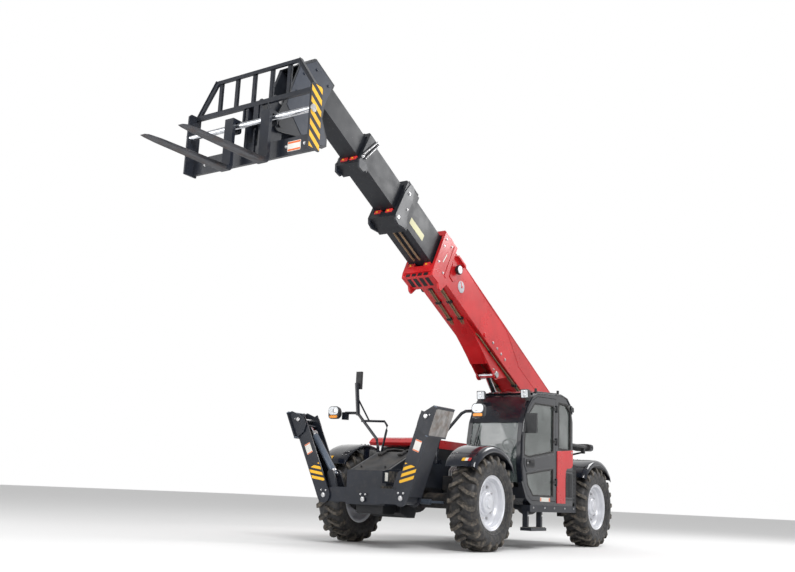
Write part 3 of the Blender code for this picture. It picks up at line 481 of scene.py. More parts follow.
# ---------------------------------------------------------------- mesh stock
def arc(centre: Point2, radius: float, start: float, end: float, steps: int) -> list[Point2]:
    """Points along an arc, with angles in degrees, both ends included."""
    angles = [math.radians(start + (end - start) * k / steps) for k in range(steps + 1)]
    return [(centre[0] + radius * math.cos(a), centre[1] + radius * math.sin(a)) for a in angles]


def rounded(low: Point2, high: Point2, radius: float, steps: int = 4) -> list[Point2]:
    """Outline of a rectangle with round corners.

    Args:
        low: lower corner.
        high: upper corner.
        radius: radius of the corners.
        steps: steps in each corner.

    Returns:
        The outline's points.
    """
    corners = (((high[0] - radius, high[1] - radius), 0), ((low[0] + radius, high[1] - radius), 90),
            ((low[0] + radius, low[1] + radius), 180), ((high[0] - radius, low[1] + radius), 270))
    points = []
    for centre, start in corners:
        points += arc(centre, radius, start, start + 90, steps)
    return points


def offset_outline(outline: Sequence[Point2], distance: float) -> list[Point2]:
    """Closed outline moved outwards by a distance, or inwards where it is negative.

    Args:
        outline: points in order.
        distance: how far each edge moves.

    Returns:
        The moved outline.
    """
    area = sum(a[0] * b[1] - b[0] * a[1] for a, b in zip(outline, [*outline[1:], outline[0]]))
    turn = 1.0 if area > 0 else -1.0
    result = []
    for before, point, after in zip([outline[-1], *outline[:-1]], outline, [*outline[1:], outline[0]]):
        first = (Vector(point) - Vector(before)).normalized()
        second = (Vector(after) - Vector(point)).normalized()
        normals = [turn * Vector((edge.y, -edge.x)) for edge in (first, second)]
        middle = (normals[0] + normals[1]).normalized()
        reach = distance / max(0.35, middle.dot(normals[0]))
        result.append((point[0] + middle.x * reach, point[1] + middle.y * reach))
    return result


def clipped(outline: list[Point2], low: float, high: float) -> list[Point2]:
    """Keep the part of an outline between two heights.

    Args:
        outline: points in order.
        low: lower height.
        high: upper height.

    Returns:
        What is left, which may be empty.
    """
    for limit, keep in ((low, 1), (high, -1)):
        result: list[Point2] = []
        for first, second in zip(outline, [*outline[1:], *outline[:1]]):
            inside = keep * (first[1] - limit) >= 0
            if inside:
                result.append(first)
            if inside != (keep * (second[1] - limit) >= 0):
                share = (limit - first[1]) / (second[1] - first[1])
                result.append((first[0] + share * (second[0] - first[0]), limit))
        outline = result
        if len(outline) < 3:
            break
    return outline


class Stock:
    """Mesh under construction: closed shells gathered into one piece."""

    def __init__(self, place: Matrix | None = None) -> None:
        """Start empty, with the place whose axes the shapes are given in.

        Args:
            place: axes of the shapes, or None for the frame itself.
        """
        self.bm = bmesh.new()
        self.place = place or Matrix()
        self.slot = 0

    def vertex(self, point: Sequence[float]) -> bmesh.types.BMVert:
        """Add a point given in the place's axes."""
        return self.bm.verts.new(self.place @ Vector(point))

    def face(self, ring: Sequence[bmesh.types.BMVert]) -> None:
        """Add a face in the current material slot."""
        self.bm.faces.new(ring).material_index = self.slot

    def loft(self, rings: Sequence[Sequence[Sequence[float]]], closed: bool = False) -> None:
        """Skin a row of rings that have the same number of points.

        Args:
            rings: the rings' points, in order.
            closed: whether the last ring joins the first, as in a torus.
        """
        made = [[self.vertex(point) for point in ring] for ring in rings]
        count = len(made[0])
        pairs = list(zip(made, made[1:]))
        if closed:
            pairs.append((made[-1], made[0]))
        for near, far in pairs:
            for k in range(count):
                self.face((near[k], near[(k + 1) % count], far[(k + 1) % count], far[k]))
        if not closed:
            self.face(made[0])
            self.face(made[-1])

    def block(self, low: Point3, high: Point3) -> None:
        """Add a rectangular block between two corners."""
        outline = [(low[0], low[1]), (high[0], low[1]), (high[0], high[1]), (low[0], high[1])]
        self.plate(outline, Axis.Z, low[2], high[2])

    def plate(self, outline: Sequence[Point2], axis: Axis, low: float, high: float) -> None:
        """Add an outline drawn out along an axis.

        Args:
            outline: (y, z) points for X, (x, z) points for Y, (x, y) points for Z.
            axis: direction in which the outline is drawn out.
            low: start along the axis.
            high: end along the axis.
        """
        rings = []
        for along in (low, high):
            ring = []
            for point in outline:
                spot = list(point)
                spot.insert(axis.value, along)
                ring.append(spot)
            rings.append(ring)
        self.loft(rings)

    def turned(self, profile: Sequence[Point2], centre: Point3, axis: Axis, sides: int = 32) -> None:
        """Add a profile turned about an axis through a centre.

        Args:
            profile: (radius, distance along the axis) points; it closes on itself or starts
                and ends on the axis.
            centre: point on the axis.
            axis: the axis it is turned about.
            sides: facets around.
        """
        first, second = [k for k in range(3) if k != axis.value]
        solid = profile[0][0] < 1e-6 and profile[-1][0] < 1e-6
        rows = []
        for radius, along in profile:
            steps = 1 if radius < 1e-6 else sides
            row = []
            for k in range(steps):
                angle = 2 * math.pi * k / sides
                spot = list(centre)
                spot[axis.value] += along
                spot[first] += radius * math.cos(angle)
                spot[second] += radius * math.sin(angle)
                row.append(self.vertex(spot))
            rows.append(row)
        pairs = list(zip(rows, rows[1:]))
        if not solid:
            pairs.append((rows[-1], rows[0]))
        for near, far in pairs:
            for k in range(sides):
                ring = [near[k % len(near)], near[(k + 1) % len(near)], far[(k + 1) % len(far)],
                        far[k % len(far)]]
                ring = list(dict.fromkeys(ring))
                if len(ring) > 2:
                    self.face(ring)

    def pipe(self, path: Sequence[Point3], radius: float, sides: int = 10) -> None:
        """Add a round bar bent along a path.

        Args:
            path: points that the bar runs through.
            radius: the bar's radius.
            sides: facets around.
        """
        points = [Vector(point) for point in path]
        rings = []
        for index, point in enumerate(points):
            before = points[max(index - 1, 0)]
            after = points[min(index + 1, len(points) - 1)]
            along = (after - before).normalized()
            guide = Vector((0, 0, 1)) if abs(along.z) < 0.95 else Vector((1, 0, 0))
            across = along.cross(guide).normalized()
            upward = across.cross(along)
            rings.append([point + radius * (math.cos(a) * across + math.sin(a) * upward) for a in
                    (2 * math.pi * k / sides for k in range(sides))])
        self.loft(rings)

    def bolt(self, at: Point3, axis: Axis, side: int, across: float = 0.022, height: float = 0.012) -> None:
        """Add a washer and a hexagon head.

        Args:
            at: centre of the washer's seat.
            axis: the bolt's axis.
            side: 1 where the head points along the axis, -1 where it points back.
            across: width of the head.
            height: height of the head above the seat.
        """
        radius = across / 2
        washer = [(0.0, -0.001 * side), (radius * 1.45, -0.001 * side), (radius * 1.45, 0.0025 * side),
                (0.0, 0.0025 * side)]
        self.turned(washer, at, axis, 16)
        head = [(0.0, 0.002 * side), (radius * 1.1, 0.002 * side), (radius * 1.1, (height - 0.002) * side),
                (radius * 0.9, height * side), (0.0, height * side)]
        self.turned(head, at, axis, 6)

    def bolt_circle(self, centre: Point3, radius: float, count: int, axis: Axis, side: int, across: float,
            height: float, turn: float = 0.0) -> None:
        """Add bolts evenly round a centre.

        Args:
            centre: middle of the ring, on the face that carries the bolts.
            radius: distance of the bolts from the centre.
            count: how many bolts.
            axis: axis that the bolts stand along.
            side: 1 where the heads point up the axis, -1 where they point down it.
            across: width of a head across its corners.
            height: height of a head.
            turn: angle of the first bolt in radians.
        """
        first, second = [k for k in range(3) if k != axis.value]
        for k in range(count):
            angle = turn + 2 * math.pi * k / count
            spot = list(centre)
            spot[first] += radius * math.cos(angle)
            spot[second] += radius * math.sin(angle)
            self.bolt(tuple(spot), axis, side, across, height)

    def pair(self, outline: Sequence[Point2], near: float, far: float) -> None:
        """Add an (x, z) outline as a plate on both sides, between two distances from y = 0."""
        for side in (-1, 1):
            self.plate(outline, Axis.Y, *sorted((side * near, side * far)))

    def disc(self, centre: Point3, axis: Axis, radius: float, low: float, high: float,
            sides: int = 20) -> None:
        """Add a round disc or bar between two places along its axis."""
        self.turned([(0.0, low), (radius, low), (radius, high), (0.0, high)], centre, axis, sides)

    def mesh(self, name: str) -> bpy.types.Mesh:
        """Close the stock and hand over its mesh.

        Args:
            name: the mesh's name.

        Returns:
            The finished mesh.
        """
        bmesh.ops.recalc_face_normals(self.bm, faces=self.bm.faces)
        mesh = bpy.data.meshes.new(name)
        self.bm.to_mesh(mesh)
        self.bm.free()
        return mesh


# ---------------------------------------------------------------- workshop
class Workshop:
    """Frame of the machine, its finishes, and the calls that fit pieces to it."""

    def __init__(self, frame: dict) -> None:
        """Read the places that all the sub-assemblies share.

        Args:
            frame: what loading the frame gave.
        """
        self.frame = frame
        self.joints = {joint["name"]: joint for joint in frame["record"]["behaviour"]["joints"]}
        self.made: dict[str, bpy.types.Material] = {}
        front = self.pin("front_left_steer")
        rear = self.pin("rear_left_steer")
        self.machine = Matrix.Translation(((front.x + rear.x) / 2, 0.0, 0.0))
        pivot = self.pin("boom_lift")
        along = Vector(self.joints["boom_extend"]["axis"]).normalized()
        rise = math.atan2(along.z, along.x)
        self.boom = Matrix.Translation(pivot) @ Matrix.Rotation(-rise, 4, "Y")

    def pin(self, joint: str) -> Vector:
        """Place of a hinge's pin at rest."""
        return Vector(self.joints[joint]["pos_m"])

    def material(self, finish: Finish) -> bpy.types.Material:
        """The finish's material, built once.

        Args:
            finish: the finish to look up.

        Returns:
            The material.
        """
        if finish.name not in self.made:
            self.made[finish.name] = finish.material()
        return self.made[finish.name]

    def piece(self, name: str, stock: Stock, body: str, *finishes: Finish, replaces: Sequence[str] = (),
            bevel: float = 0.0, smooth: float = 35.0, segments: int = 2) -> bpy.types.Object:
        """Turn stock into a named piece that rides on a body.

        Args:
            name: the piece's name.
            stock: its mesh under construction.
            body: body of the frame that it rides on.
            finishes: finish of each material slot of the stock.
            replaces: nodes of the frame that it stands for.
            bevel: width of its softened edges, or 0 for none.
            smooth: angle in degrees under which an edge is shaded round.
            segments: steps of a softened edge.

        Returns:
            The piece's object.
        """
        mesh = stock.mesh(name)
        piece = bpy.data.objects.new(name, mesh)
        bpy.context.scene.collection.objects.link(piece)
        for finish in finishes:
            mesh.materials.append(self.material(finish))
        self.soften(piece, bevel, smooth, segments)
        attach(piece, body)
        if replaces:
            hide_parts(*replaces)
        LOG.info("%s rides on %s", name, body)
        return piece

    def soften(self, piece: bpy.types.Object, bevel: float, smooth: float, segments: int) -> None:
        """Shade the piece round under an angle and bevel what is sharper.

        Args:
            piece: the piece to soften.
            bevel: width of the softened edges, or 0.
            smooth: angle in degrees below which an edge is round.
            segments: steps of a softened edge.
        """
        for polygon in piece.data.polygons:
            polygon.use_smooth = True
        limit = math.radians(smooth)
        piece.data.set_sharp_from_angle(angle=limit)
        if bevel > 0:
            edges = piece.modifiers.new("edges", "BEVEL")
            edges.width = bevel
            edges.segments = segments
            edges.limit_method = "ANGLE"
            edges.angle_limit = limit
            edges.harden_normals = True
            edges.use_clamp_overlap = True

    def dress(self, node: str, finish: Finish, bevel: float = 0.004) -> None:
        """Give a node of the frame its finish and softened edges.

        Args:
            node: the node's name.
            finish: the finish it gets.
            bevel: width of the softened edges.
        """
        part = self.frame["nodes"][node]
        part.data.materials.clear()
        part.data.materials.append(self.material(finish))
        edges = part.modifiers.new("edges", "BEVEL")
        edges.width = bevel
        edges.segments = 2
        edges.limit_method = "ANGLE"
        edges.angle_limit = math.radians(32)
        edges.use_clamp_overlap = True
        smooth = part.modifiers.new("shade", "WEIGHTED_NORMAL")
        smooth.keep_sharp = True
        LOG.info("%s dressed in %s", node, finish.name)


# ---------------------------------------------------------------- running gear
class Corner(Enum):
    """The four steered corners, as (name, x direction, y side)."""
    FRONT_LEFT = ("front_left", 1, 1)
    FRONT_RIGHT = ("front_right", 1, -1)
    REAR_LEFT = ("rear_left", -1, 1)
    REAR_RIGHT = ("rear_right", -1, -1)


@dataclass
class Wheel:
    """Deep-lugged tyre on a dished rim, drawn about the wheel's centre with Y outwards."""
    shop: Workshop
    corner: Corner
    radius: float = 0.585
    inner: float = 0.82
    outer: float = 1.19
    carcass: float = 0.545
    lugs: int = 20
    flange: float = 0.335
    rim_inner: float = 0.862
    rim_outer: float = 1.152
    disc: float = 1.030
    nuts: int = 10

    def place(self) -> Matrix:
        """Wheel centre's place, mirrored on the right-hand side.

        Returns:
            The wheel's axes.
        """
        name, _, side = self.corner.value
        hub = self.shop.pin(name + "_wheel_spin")
        return Matrix.Translation((hub.x, 0.0, hub.z)) @ Matrix.Scale(side, 4, (0, 1, 0))

    def carcass_profile(self) -> list[Point2]:
        """Section of the tyre without its lugs, as (radius, y).

        Returns:
            The profile, closed on itself.
        """
        middle = (self.inner + self.outer) / 2
        half = [(self.flange + 0.002, 0.142), (self.flange + 0.012, 0.157), (self.flange + 0.020, 0.158),
                (0.375, 0.168), (0.382, 0.1725), (0.390, 0.170), (0.425, 0.1835), (0.465, 0.1845),
                (0.500, 0.176), (0.522, 0.160), (0.537, 0.130), (self.carcass, 0.075),
                (self.carcass + 0.003, 0.0)]
        outward = [(r, middle + y) for r, y in half]
        inward = [(r, middle - y) for r, y in half[-2::-1]]
        return outward + inward + [(0.308, self.rim_inner + 0.02), (0.308, self.rim_outer - 0.02)]

    def lug(self, stock: Stock, angle: float, side: int) -> None:
        """Add one hooked lug, from the middle of the tread over the shoulder.

        Args:
            stock: mesh that takes the lug.
            angle: place around the tyre, in radians.
            side: 1 for the outer half of the tread, -1 for the inner.
        """
        middle = (self.inner + self.outer) / 2
        top, low = self.radius, self.carcass - 0.012
        # y from the middle, lead around the tyre, top radius, foot radius, half width
        spine = ((-0.018, 0.150, top - 0.001, low, 0.021), (0.030, 0.118, top, low, 0.026),
                (0.075, 0.062, top - 0.001, low, 0.027), (0.120, 0.020, top - 0.003, low, 0.027),
                (0.160, 0.006, top - 0.010, 0.515, 0.028), (0.1795, 0.0, 0.545, 0.480, 0.030),
                (0.1845, 0.0, 0.500, 0.462, 0.026))
        rings = []
        for y, lead, high, foot, half in spine:
            ring = []
            for spin, reach in ((-1.25, foot), (-0.92, high), (0.92, high), (1.25, foot)):
                swing = angle + lead + spin * half / reach
                ring.append((reach * math.cos(swing), middle + side * y, reach * math.sin(swing)))
            rings.append(ring)
        made = [[stock.vertex(point) for point in ring] for ring in rings]
        for near, far in zip(made, made[1:]):
            for k in range(4):
                stock.slot = 1 if k == 1 else 2
                stock.face((near[k], near[(k + 1) % 4], far[(k + 1) % 4], far[k]))
        stock.slot = 2
        stock.face(made[0])
        stock.face(made[-1])
        stock.slot = 0

    def fit_tyre(self) -> None:
        """Build the tyre around its rim."""
        name = self.corner.value[0]
        stock = Stock(self.place())
        stock.turned(self.carcass_profile(), (0.0, 0.0, 0.0), Axis.Y, 96)
        pitch = 2 * math.pi / self.lugs
        turn = self.corner.value[2] * 0.05 + self.corner.value[1] * 0.11
        for k in range(self.lugs):
            self.lug(stock, turn + k * pitch, 1)
            self.lug(stock, turn + (k + 0.5) * pitch, -1)
        self.shop.piece(name + "_tyre_treaded", stock, name + "_wheel", SIDEWALL, TREAD, GROOVE,
                replaces=(name + "_tyre",), bevel=0.004, smooth=30.0, segments=1)

    def rim_profile(self) -> list[Point2]:
        """Section of the rim and its dished disc, as (radius, y).

        Returns:
            The profile, from axis to axis.
        """
        edge, disc = self.rim_outer, self.disc
        return [(0.0, disc + 0.012), (0.150, disc + 0.012), (0.158, disc + 0.004), (0.236, disc + 0.004),
                (0.250, disc + 0.012), (0.262, disc + 0.044), (0.272, disc + 0.052), (0.282, disc + 0.050),
                (0.286, disc + 0.062), (0.293, edge - 0.016), (0.302, edge - 0.010), (0.318, edge - 0.012),
                (0.326, edge - 0.002), (0.3345, edge - 0.002), (self.flange, edge - 0.010),
                (0.328, edge - 0.016), (0.306, edge - 0.022), (0.304, self.rim_inner + 0.02),
                (0.328, self.rim_inner + 0.014), (self.flange, self.rim_inner + 0.002),
                (0.326, self.rim_inner + 0.001), (0.300, self.rim_inner + 0.012),
                (0.290, self.rim_inner + 0.04), (0.286, disc - 0.02), (0.25, disc - 0.012),
                (0.0, disc - 0.012)]

    def fit_rim(self) -> None:
        """Build the rim, its hub cover, nuts and valve."""
        name = self.corner.value[0]
        stock = Stock(self.place())
        stock.turned(self.rim_profile(), (0.0, 0.0, 0.0), Axis.Y, 72)
        self.shop.piece(name + "_rim_dished", stock, name + "_wheel", SILVER, replaces=(name + "_rim",))
        hub = Stock(self.place())
        base = self.disc + 0.010
        hub.turned([(0.0, base), (0.150, base), (0.150, base + 0.014), (0.128, base + 0.020),
                (0.124, base + 0.052), (0.112, base + 0.062), (0.070, base + 0.064), (0.064, base + 0.082),
                (0.052, base + 0.088), (0.0, base + 0.088)], (0.0, 0.0, 0.0), Axis.Y, 48)
        hub.bolt_circle((0.0, base + 0.060, 0.0), 0.096, 6, Axis.Y, 1, 0.016, 0.010, math.pi / 6)
        self.shop.piece(name + "_hub_cover", hub, name + "_wheel", SILVER, bevel=0.002)
        nuts = Stock(self.place())
        nuts.bolt_circle((0.0, self.disc + 0.004, 0.0), 0.197, self.nuts, Axis.Y, 1, 0.030, 0.024)
        nuts.pipe([(0.272, self.disc + 0.02, 0.02), (0.274, self.disc + 0.10, 0.02)], 0.006, 8)
        self.shop.piece(name + "_wheel_nuts", nuts, name + "_wheel", ZINC)


@dataclass
class Mudguard:
    """Moulded guard that arches over one tyre, with rolled edges and reflectors."""
    shop: Workshop
    corner: Corner
    radius: float = 0.699
    inner: float = 0.762
    outer: float = 1.194
    start: float = 39.0
    end: float = 141.0
    skin: float = 0.010

    def section(self, lip: float) -> list[Point2]:
        """Section across the guard, as (y, height below the crown).

        Args:
            lip: extra depth of the outer lip.

        Returns:
            The section's points.
        """
        return [(self.inner, -0.030), (self.inner + 0.006, -0.010), (self.inner + 0.030, -0.002),
                (self.inner + 0.13, 0.0), (self.outer - 0.15, 0.0), (self.outer - 0.06, -0.004),
                (self.outer - 0.026, -0.014), (self.outer - 0.008, -0.034), (self.outer, -0.055 - lip)]

    def point(self, spot: Point2, angle: float, deep: float) -> Point3:
        """Place of a section point at an angle, in degrees, at a depth under the skin."""
        reach = self.radius + spot[1] - deep
        return (reach * math.cos(math.radians(angle)), spot[0], reach * math.sin(math.radians(angle)))

    def fit(self) -> None:
        """Build the guard, its bolts and its reflectors."""
        name, ahead, side = self.corner.value
        hub = self.shop.pin(name + "_wheel_spin")
        place = Matrix.Translation((hub.x, 0.0, hub.z)) @ Matrix.Scale(side, 4, (0, 1, 0))
        stock = Stock(place)
        rings = []
        steps = 26
        for k in range(steps + 1):
            angle = self.start + (self.end - self.start) * k / steps
            near = min(k, steps - k) / steps
            droop = 0.030 * max(0.0, 1.0 - near / 0.10) ** 2
            lip = 0.022 * min(1.0, near / 0.15)
            line = [(y, h - droop) for y, h in self.section(lip)]
            outside = [self.point(spot, angle, 0.0) for spot in line]
            inside = [self.point((y + (0.008 if y < 0.9 else -0.008), h), angle, self.skin) for y,
                    h in line]
            rings.append(outside + inside[::-1])
        stock.loft(rings)
        stock.plate([(-0.035, 0.172), (0.035, 0.172), (0.050, self.radius - 0.02),
                (-0.050, self.radius - 0.02)], Axis.Y, 0.784, 0.811)
        self.shop.piece(name + "_mudguard_moulded", stock, name + "_steering", GUARD,
                replaces=(name + "_mudguard",), bevel=0.002, smooth=50.0)
        trim = Stock(place)
        for angle in (self.start + 14, 90.0, self.end - 14):
            for y in (0.80, 0.86):
                for lean in (-3.0, 3.0):
                    foot = self.point((y, 0.001), angle + lean, 0.0)
                    trim.turned([(0.0, -0.003), (0.011, -0.003), (0.011, 0.003), (0.006, 0.006),
                            (0.0, 0.006)], foot, Axis.Z, 10)
        self.shop.piece(name + "_mudguard_bolts", trim, name + "_steering", ZINC)
        front = self.start + 7 if ahead > 0 else self.end - 7
        stickers = Stock(place)
        for slot, (low, high) in enumerate(((1.075, 1.115), (1.035, 1.073), (0.99, 1.033))):
            stickers.slot = slot
            rings = []
            for k in range(4):
                angle = front + (k - 1.5) * 1.4 * (1 if ahead > 0 else -1)
                rings.append([self.point((low, 0.0015), angle, 0.0), self.point((high, 0.0015), angle, 0.0),
                        self.point((high, -0.003), angle, 0.0), self.point((low, -0.003), angle, 0.0)])
            stickers.loft(rings)
        self.shop.piece(name + "_mudguard_reflectors", stickers, name + "_steering", RED_LENS, WHITE_LABEL,
                WARNING)


@dataclass
class Axles:
    """Finishes and bolted details of both axles and the four knuckles."""
    shop: Workshop
    bolt_ring: float = 0.145

    def fit(self) -> None:
        """Dress the castings and add their bolts and steering rods."""
        for end in ("front", "rear"):
            self.shop.dress(end + "_axle", CASTING, 0.008)
            middle = self.shop.pin(end + "_left_wheel_spin")
            stock = Stock(Matrix.Translation((middle.x, 0.0, middle.z)))
            stock.bolt_circle((0.086, 0.0, 0.0), 0.118, 10, Axis.X, 1, 0.018, 0.012)
            for side in (-1, 1):
                for k in (-1, 1):
                    stock.bolt((0.03 * k, side * 0.69, 0.165), Axis.Z, 1, 0.020, 0.012)
            self.shop.piece(end + "_axle_bolts", stock, "chassis", ZINC)
            steering = Stock(Matrix.Translation((middle.x, 0.0, middle.z)))
            steering.pipe([(0.128, -0.34, -0.02), (0.128, 0.34, -0.02)], 0.034, 16)
            steering.pipe([(0.128, -0.53, -0.02), (0.128, 0.53, -0.02)], 0.016, 12)
            self.shop.piece(end + "_steering_cylinder", steering, "chassis", CYLINDER, bevel=0.002)
        for corner in Corner:
            name, _, side = corner.value
            self.shop.dress(name + "_knuckle", CASTING, 0.005)
            hub = self.shop.pin(name + "_wheel_spin")
            stock = Stock(Matrix.Translation((hub.x, 0.0, hub.z)) @ Matrix.Scale(side, 4, (0, 1, 0)))
            stock.bolt_circle((0.0, 0.792, 0.0), self.bolt_ring, 12, Axis.Y, -1, 0.015, 0.010)
            self.shop.piece(name + "_knuckle_bolts", stock, name + "_steering", ZINC)


# ---------------------------------------------------------------- chassis
@dataclass
class Chassis:
    """Frame, nose, beam ends, counterweight and the details bolted to them."""
    shop: Workshop
    nose_x: float = 2.74
    plate_y: float = 0.290
    rear_x: float = -2.60

    def fit(self) -> None:
        """Dress the frame's nodes and add every detail."""
        self.shop.dress("chassis_frame", SLATE, 0.004)
        self.shop.dress("rear_counterweight", SLATE, 0.015)
        self.fit_nose()
        self.fit_pins()
        self.fit_valves()
        self.fit_rear()
        self.fit_step()

    def fit_nose(self) -> None:
        """Panel recess, blank plates, slots and pipes of the nose box."""
        stock = Stock(self.shop.machine)
        y = self.plate_y
        stock.plate([(2.36, 0.745), (2.80, 0.760), (2.80, 0.905), (2.60, 0.935), (2.36, 0.935)], Axis.Y,
                y - 0.002, y + 0.008)
        stock.slot = 1
        for x in (2.40, 2.47, 2.54, 2.61):
            stock.block((x, y + 0.006, 0.775), (x + 0.055, y + 0.011, 0.905))
        stock.slot = 2
        stock.block((2.685, y + 0.006, 0.785), (2.745, y + 0.010, 0.885))
        stock.slot = 1
        stock.block((2.42, y - 0.001, 0.690), (2.80, y + 0.003, 0.728))
        self.shop.piece("nose_side_panel", stock, "chassis", SLATE, GROOVE, WHITE_LABEL, bevel=0.002)
        deck = Stock(self.shop.machine)
        deck.plate([(2.10, 1.165), (2.30, 1.077), (2.68, 0.907), (2.66, 0.899), (2.30, 1.062),
                (2.10, 1.152)], Axis.Y, -0.25, 0.25)
        for y in (-0.18, 0.18):
            for x, z in ((2.22, 1.117), (2.58, 0.956)):
                deck.bolt((x, y, z), Axis.Z, 1, 0.020, 0.012)
        self.shop.piece("nose_deck_cover", deck, "chassis", DEEP_BLACK, bevel=0.004)
        pipes = Stock(self.shop.machine)
        for k, y in enumerate((-0.17, -0.14, 0.13, 0.16)):
            rise = 1.19 + 0.015 * (k % 2)
            pipes.pipe([(1.50, y, 1.02), (1.60, y, 1.13), (1.72, y, rise), (1.95, y, rise),
                    (2.10, y, rise - 0.02), (2.24, y, 1.12)], 0.013, 10)
        self.shop.piece("deck_pipes", pipes, "chassis", SEAL)
        lower = Stock(self.shop.machine)
        lower.plate([(2.30, 0.505), (2.62, 0.505), (2.62, 0.405), (2.56, 0.395), (2.38, 0.395)], Axis.Y,
                -0.20, 0.20)
        lower.plate([(1.96, 0.515), (2.34, 0.505), (2.34, 0.42), (2.15, 0.36), (2.02, 0.36)], Axis.Y, -0.27,
                0.27)
        self.shop.piece("nose_belly_plates", lower, "chassis", DEEP_BLACK, bevel=0.006)

    def fit_pins(self) -> None:
        """Pin heads of the beam ends and of the nose, each with two keeper bolts."""
        for side in ("right", "left"):
            pivot = self.shop.pin(side + "_stabiliser_swing")
            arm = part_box(side + "_stabiliser_arm")
            stock = Stock()
            front = arm[1].x
            self.pin_head(stock, (front, pivot.y, pivot.z), 1 if side == "left" else -1)
            self.shop.piece(side + "_stabiliser_pin", stock, side + "_stabiliser", ZINC, bevel=0.001)
        stock = Stock(self.shop.machine)
        self.pin_head(stock, (self.nose_x, -0.02, 0.565), 1)
        self.shop.piece("nose_pin", stock, "chassis", ZINC, bevel=0.001)

    def pin_head(self, stock: Stock, at: Point3, side: int) -> None:
        """Add a pin's end cap and two bolts above it.

        Args:
            stock: mesh that takes the cap.
            at: middle of the pin's end.
            side: side on which the first bolt stands.
        """
        x, y, z = at
        stock.turned([(0.0, -0.004), (0.030, -0.004), (0.030, 0.008), (0.024, 0.012), (0.010, 0.012),
                (0.008, 0.007), (0.0, 0.007)], at, Axis.X, 24)
        for dy in (-0.036, 0.036):
            stock.bolt((x, y + dy * side, z + 0.058), Axis.X, 1, 0.018, 0.012)

    def fit_valves(self) -> None:
        """Pipes and a valve block between the front wheels, under the cab's front."""
        stock = Stock(self.shop.machine)
        stock.block((1.20, 0.30, 0.72), (1.44, 0.44, 0.90))
        stock.block((1.24, 0.44, 0.76), (1.40, 0.47, 0.86))
        self.shop.piece("steering_valve", stock, "chassis", CASTING, bevel=0.008)
        pipes = Stock(self.shop.machine)
        for k in range(4):
            x = 1.23 + 0.055 * k
            pipes.pipe([(x, 0.38, 0.73), (x, 0.38, 0.64), (x - 0.05, 0.36, 0.585), (x - 0.30, 0.335, 0.56),
                    (x - 0.75, 0.325, 0.56)], 0.010, 8)
            pipes.pipe([(x, 0.37, 0.89), (x, 0.37, 0.97), (x - 0.10, 0.35, 1.02), (x - 0.60, 0.325, 1.03)],
                    0.010, 8)
        self.shop.piece("valve_pipes", pipes, "chassis", ZINC)

    def fit_rear(self) -> None:
        """Tail lamps, tow hitch and bolts at the rear."""
        hitch = Stock(self.shop.machine)
        for y in (-0.055, 0.035):
            hitch.plate([(self.rear_x + 0.002, 0.66), (self.rear_x + 0.002, 0.86),
                    (self.rear_x + 0.02, 0.88), (self.rear_x + 0.02, 0.64)], Axis.Y, y, y + 0.02)
        for y in (-0.52, -0.26, 0.26, 0.52):
            hitch.bolt((-2.54, y, 1.001), Axis.Z, 1, 0.032, 0.022)
        self.shop.piece("rear_hitch_and_bolts", hitch, "chassis", ZINC, bevel=0.002)
        for side, name in ((1, "left"), (-1, "right")):
            place = self.shop.machine @ Matrix.Scale(side, 4, (0, 1, 0))
            lamp = Stock(place)
            lamp.plate(rounded((0.56, 1.445), (0.86, 1.555), 0.05, 6), Axis.X, -2.235, -2.105)
            lamp.slot = 1
            lamp.plate(rounded((0.58, 1.465), (0.70, 1.535), 0.02), Axis.X, -2.245, -2.230)
            lamp.slot = 2
            lamp.plate(rounded((0.71, 1.465), (0.77, 1.535), 0.02), Axis.X, -2.245, -2.230)
            lamp.slot = 3
            lamp.plate(rounded((0.78, 1.465), (0.84, 1.535), 0.02), Axis.X, -2.245, -2.230)
            self.shop.piece(name + "_tail_lamp", lamp, "chassis", BLACK_PLASTIC, RED_LENS, AMBER,
                    CLEAR_LENS, bevel=0.004)
        ribs = Stock(self.shop.machine)
        for y in (-0.255, 0.235):
            for x in (-2.26, -2.10, -1.94):
                ribs.block((x, y - 0.005, 1.30), (x + 0.012, y + 0.025, 1.62))
        self.shop.piece("tower_ribs", ribs, "chassis", SLATE, bevel=0.002)
        boss = Stock(Matrix.Translation(self.shop.pin("boom_lift")))
        for side in (-1, 1):
            boss.turned([(0.0, 0.285 * side), (0.105, 0.285 * side), (0.105, 0.300 * side),
                    (0.085, 0.306 * side), (0.0, 0.306 * side)], (0, 0, 0), Axis.Y, 32)
            boss.bolt_circle((0.0, 0.306 * side, 0.0), 0.06, 3, Axis.Y, side, 0.020, 0.012, 0.5)
        self.shop.piece("boom_pin_caps", boss, "chassis", SLATE, bevel=0.002)

    def fit_step(self) -> None:
        """Tread plate of the step and sill bolts."""
        stock = Stock(self.shop.machine)
        for k in range(9):
            x = 0.145 + 0.052 * k
            stock.block((x, 1.005, 0.2855), (x + 0.02, 1.158, 0.292))
        self.shop.piece("step_tread", stock, "chassis", WORN, bevel=0.001)
        bolts = Stock(self.shop.machine)
        for x in (-0.85, -0.55, -0.20, 0.10, 0.45):
            bolts.bolt((x, 1.125, 0.545), Axis.Y, 1, 0.018, 0.010)
        for x in (0.145, 0.555):
            bolts.bolt((x, 1.10, 0.44), Axis.Y, 1, 0.016, 0.010)
        self.shop.piece("sill_bolts", bolts, "chassis", ZINC)


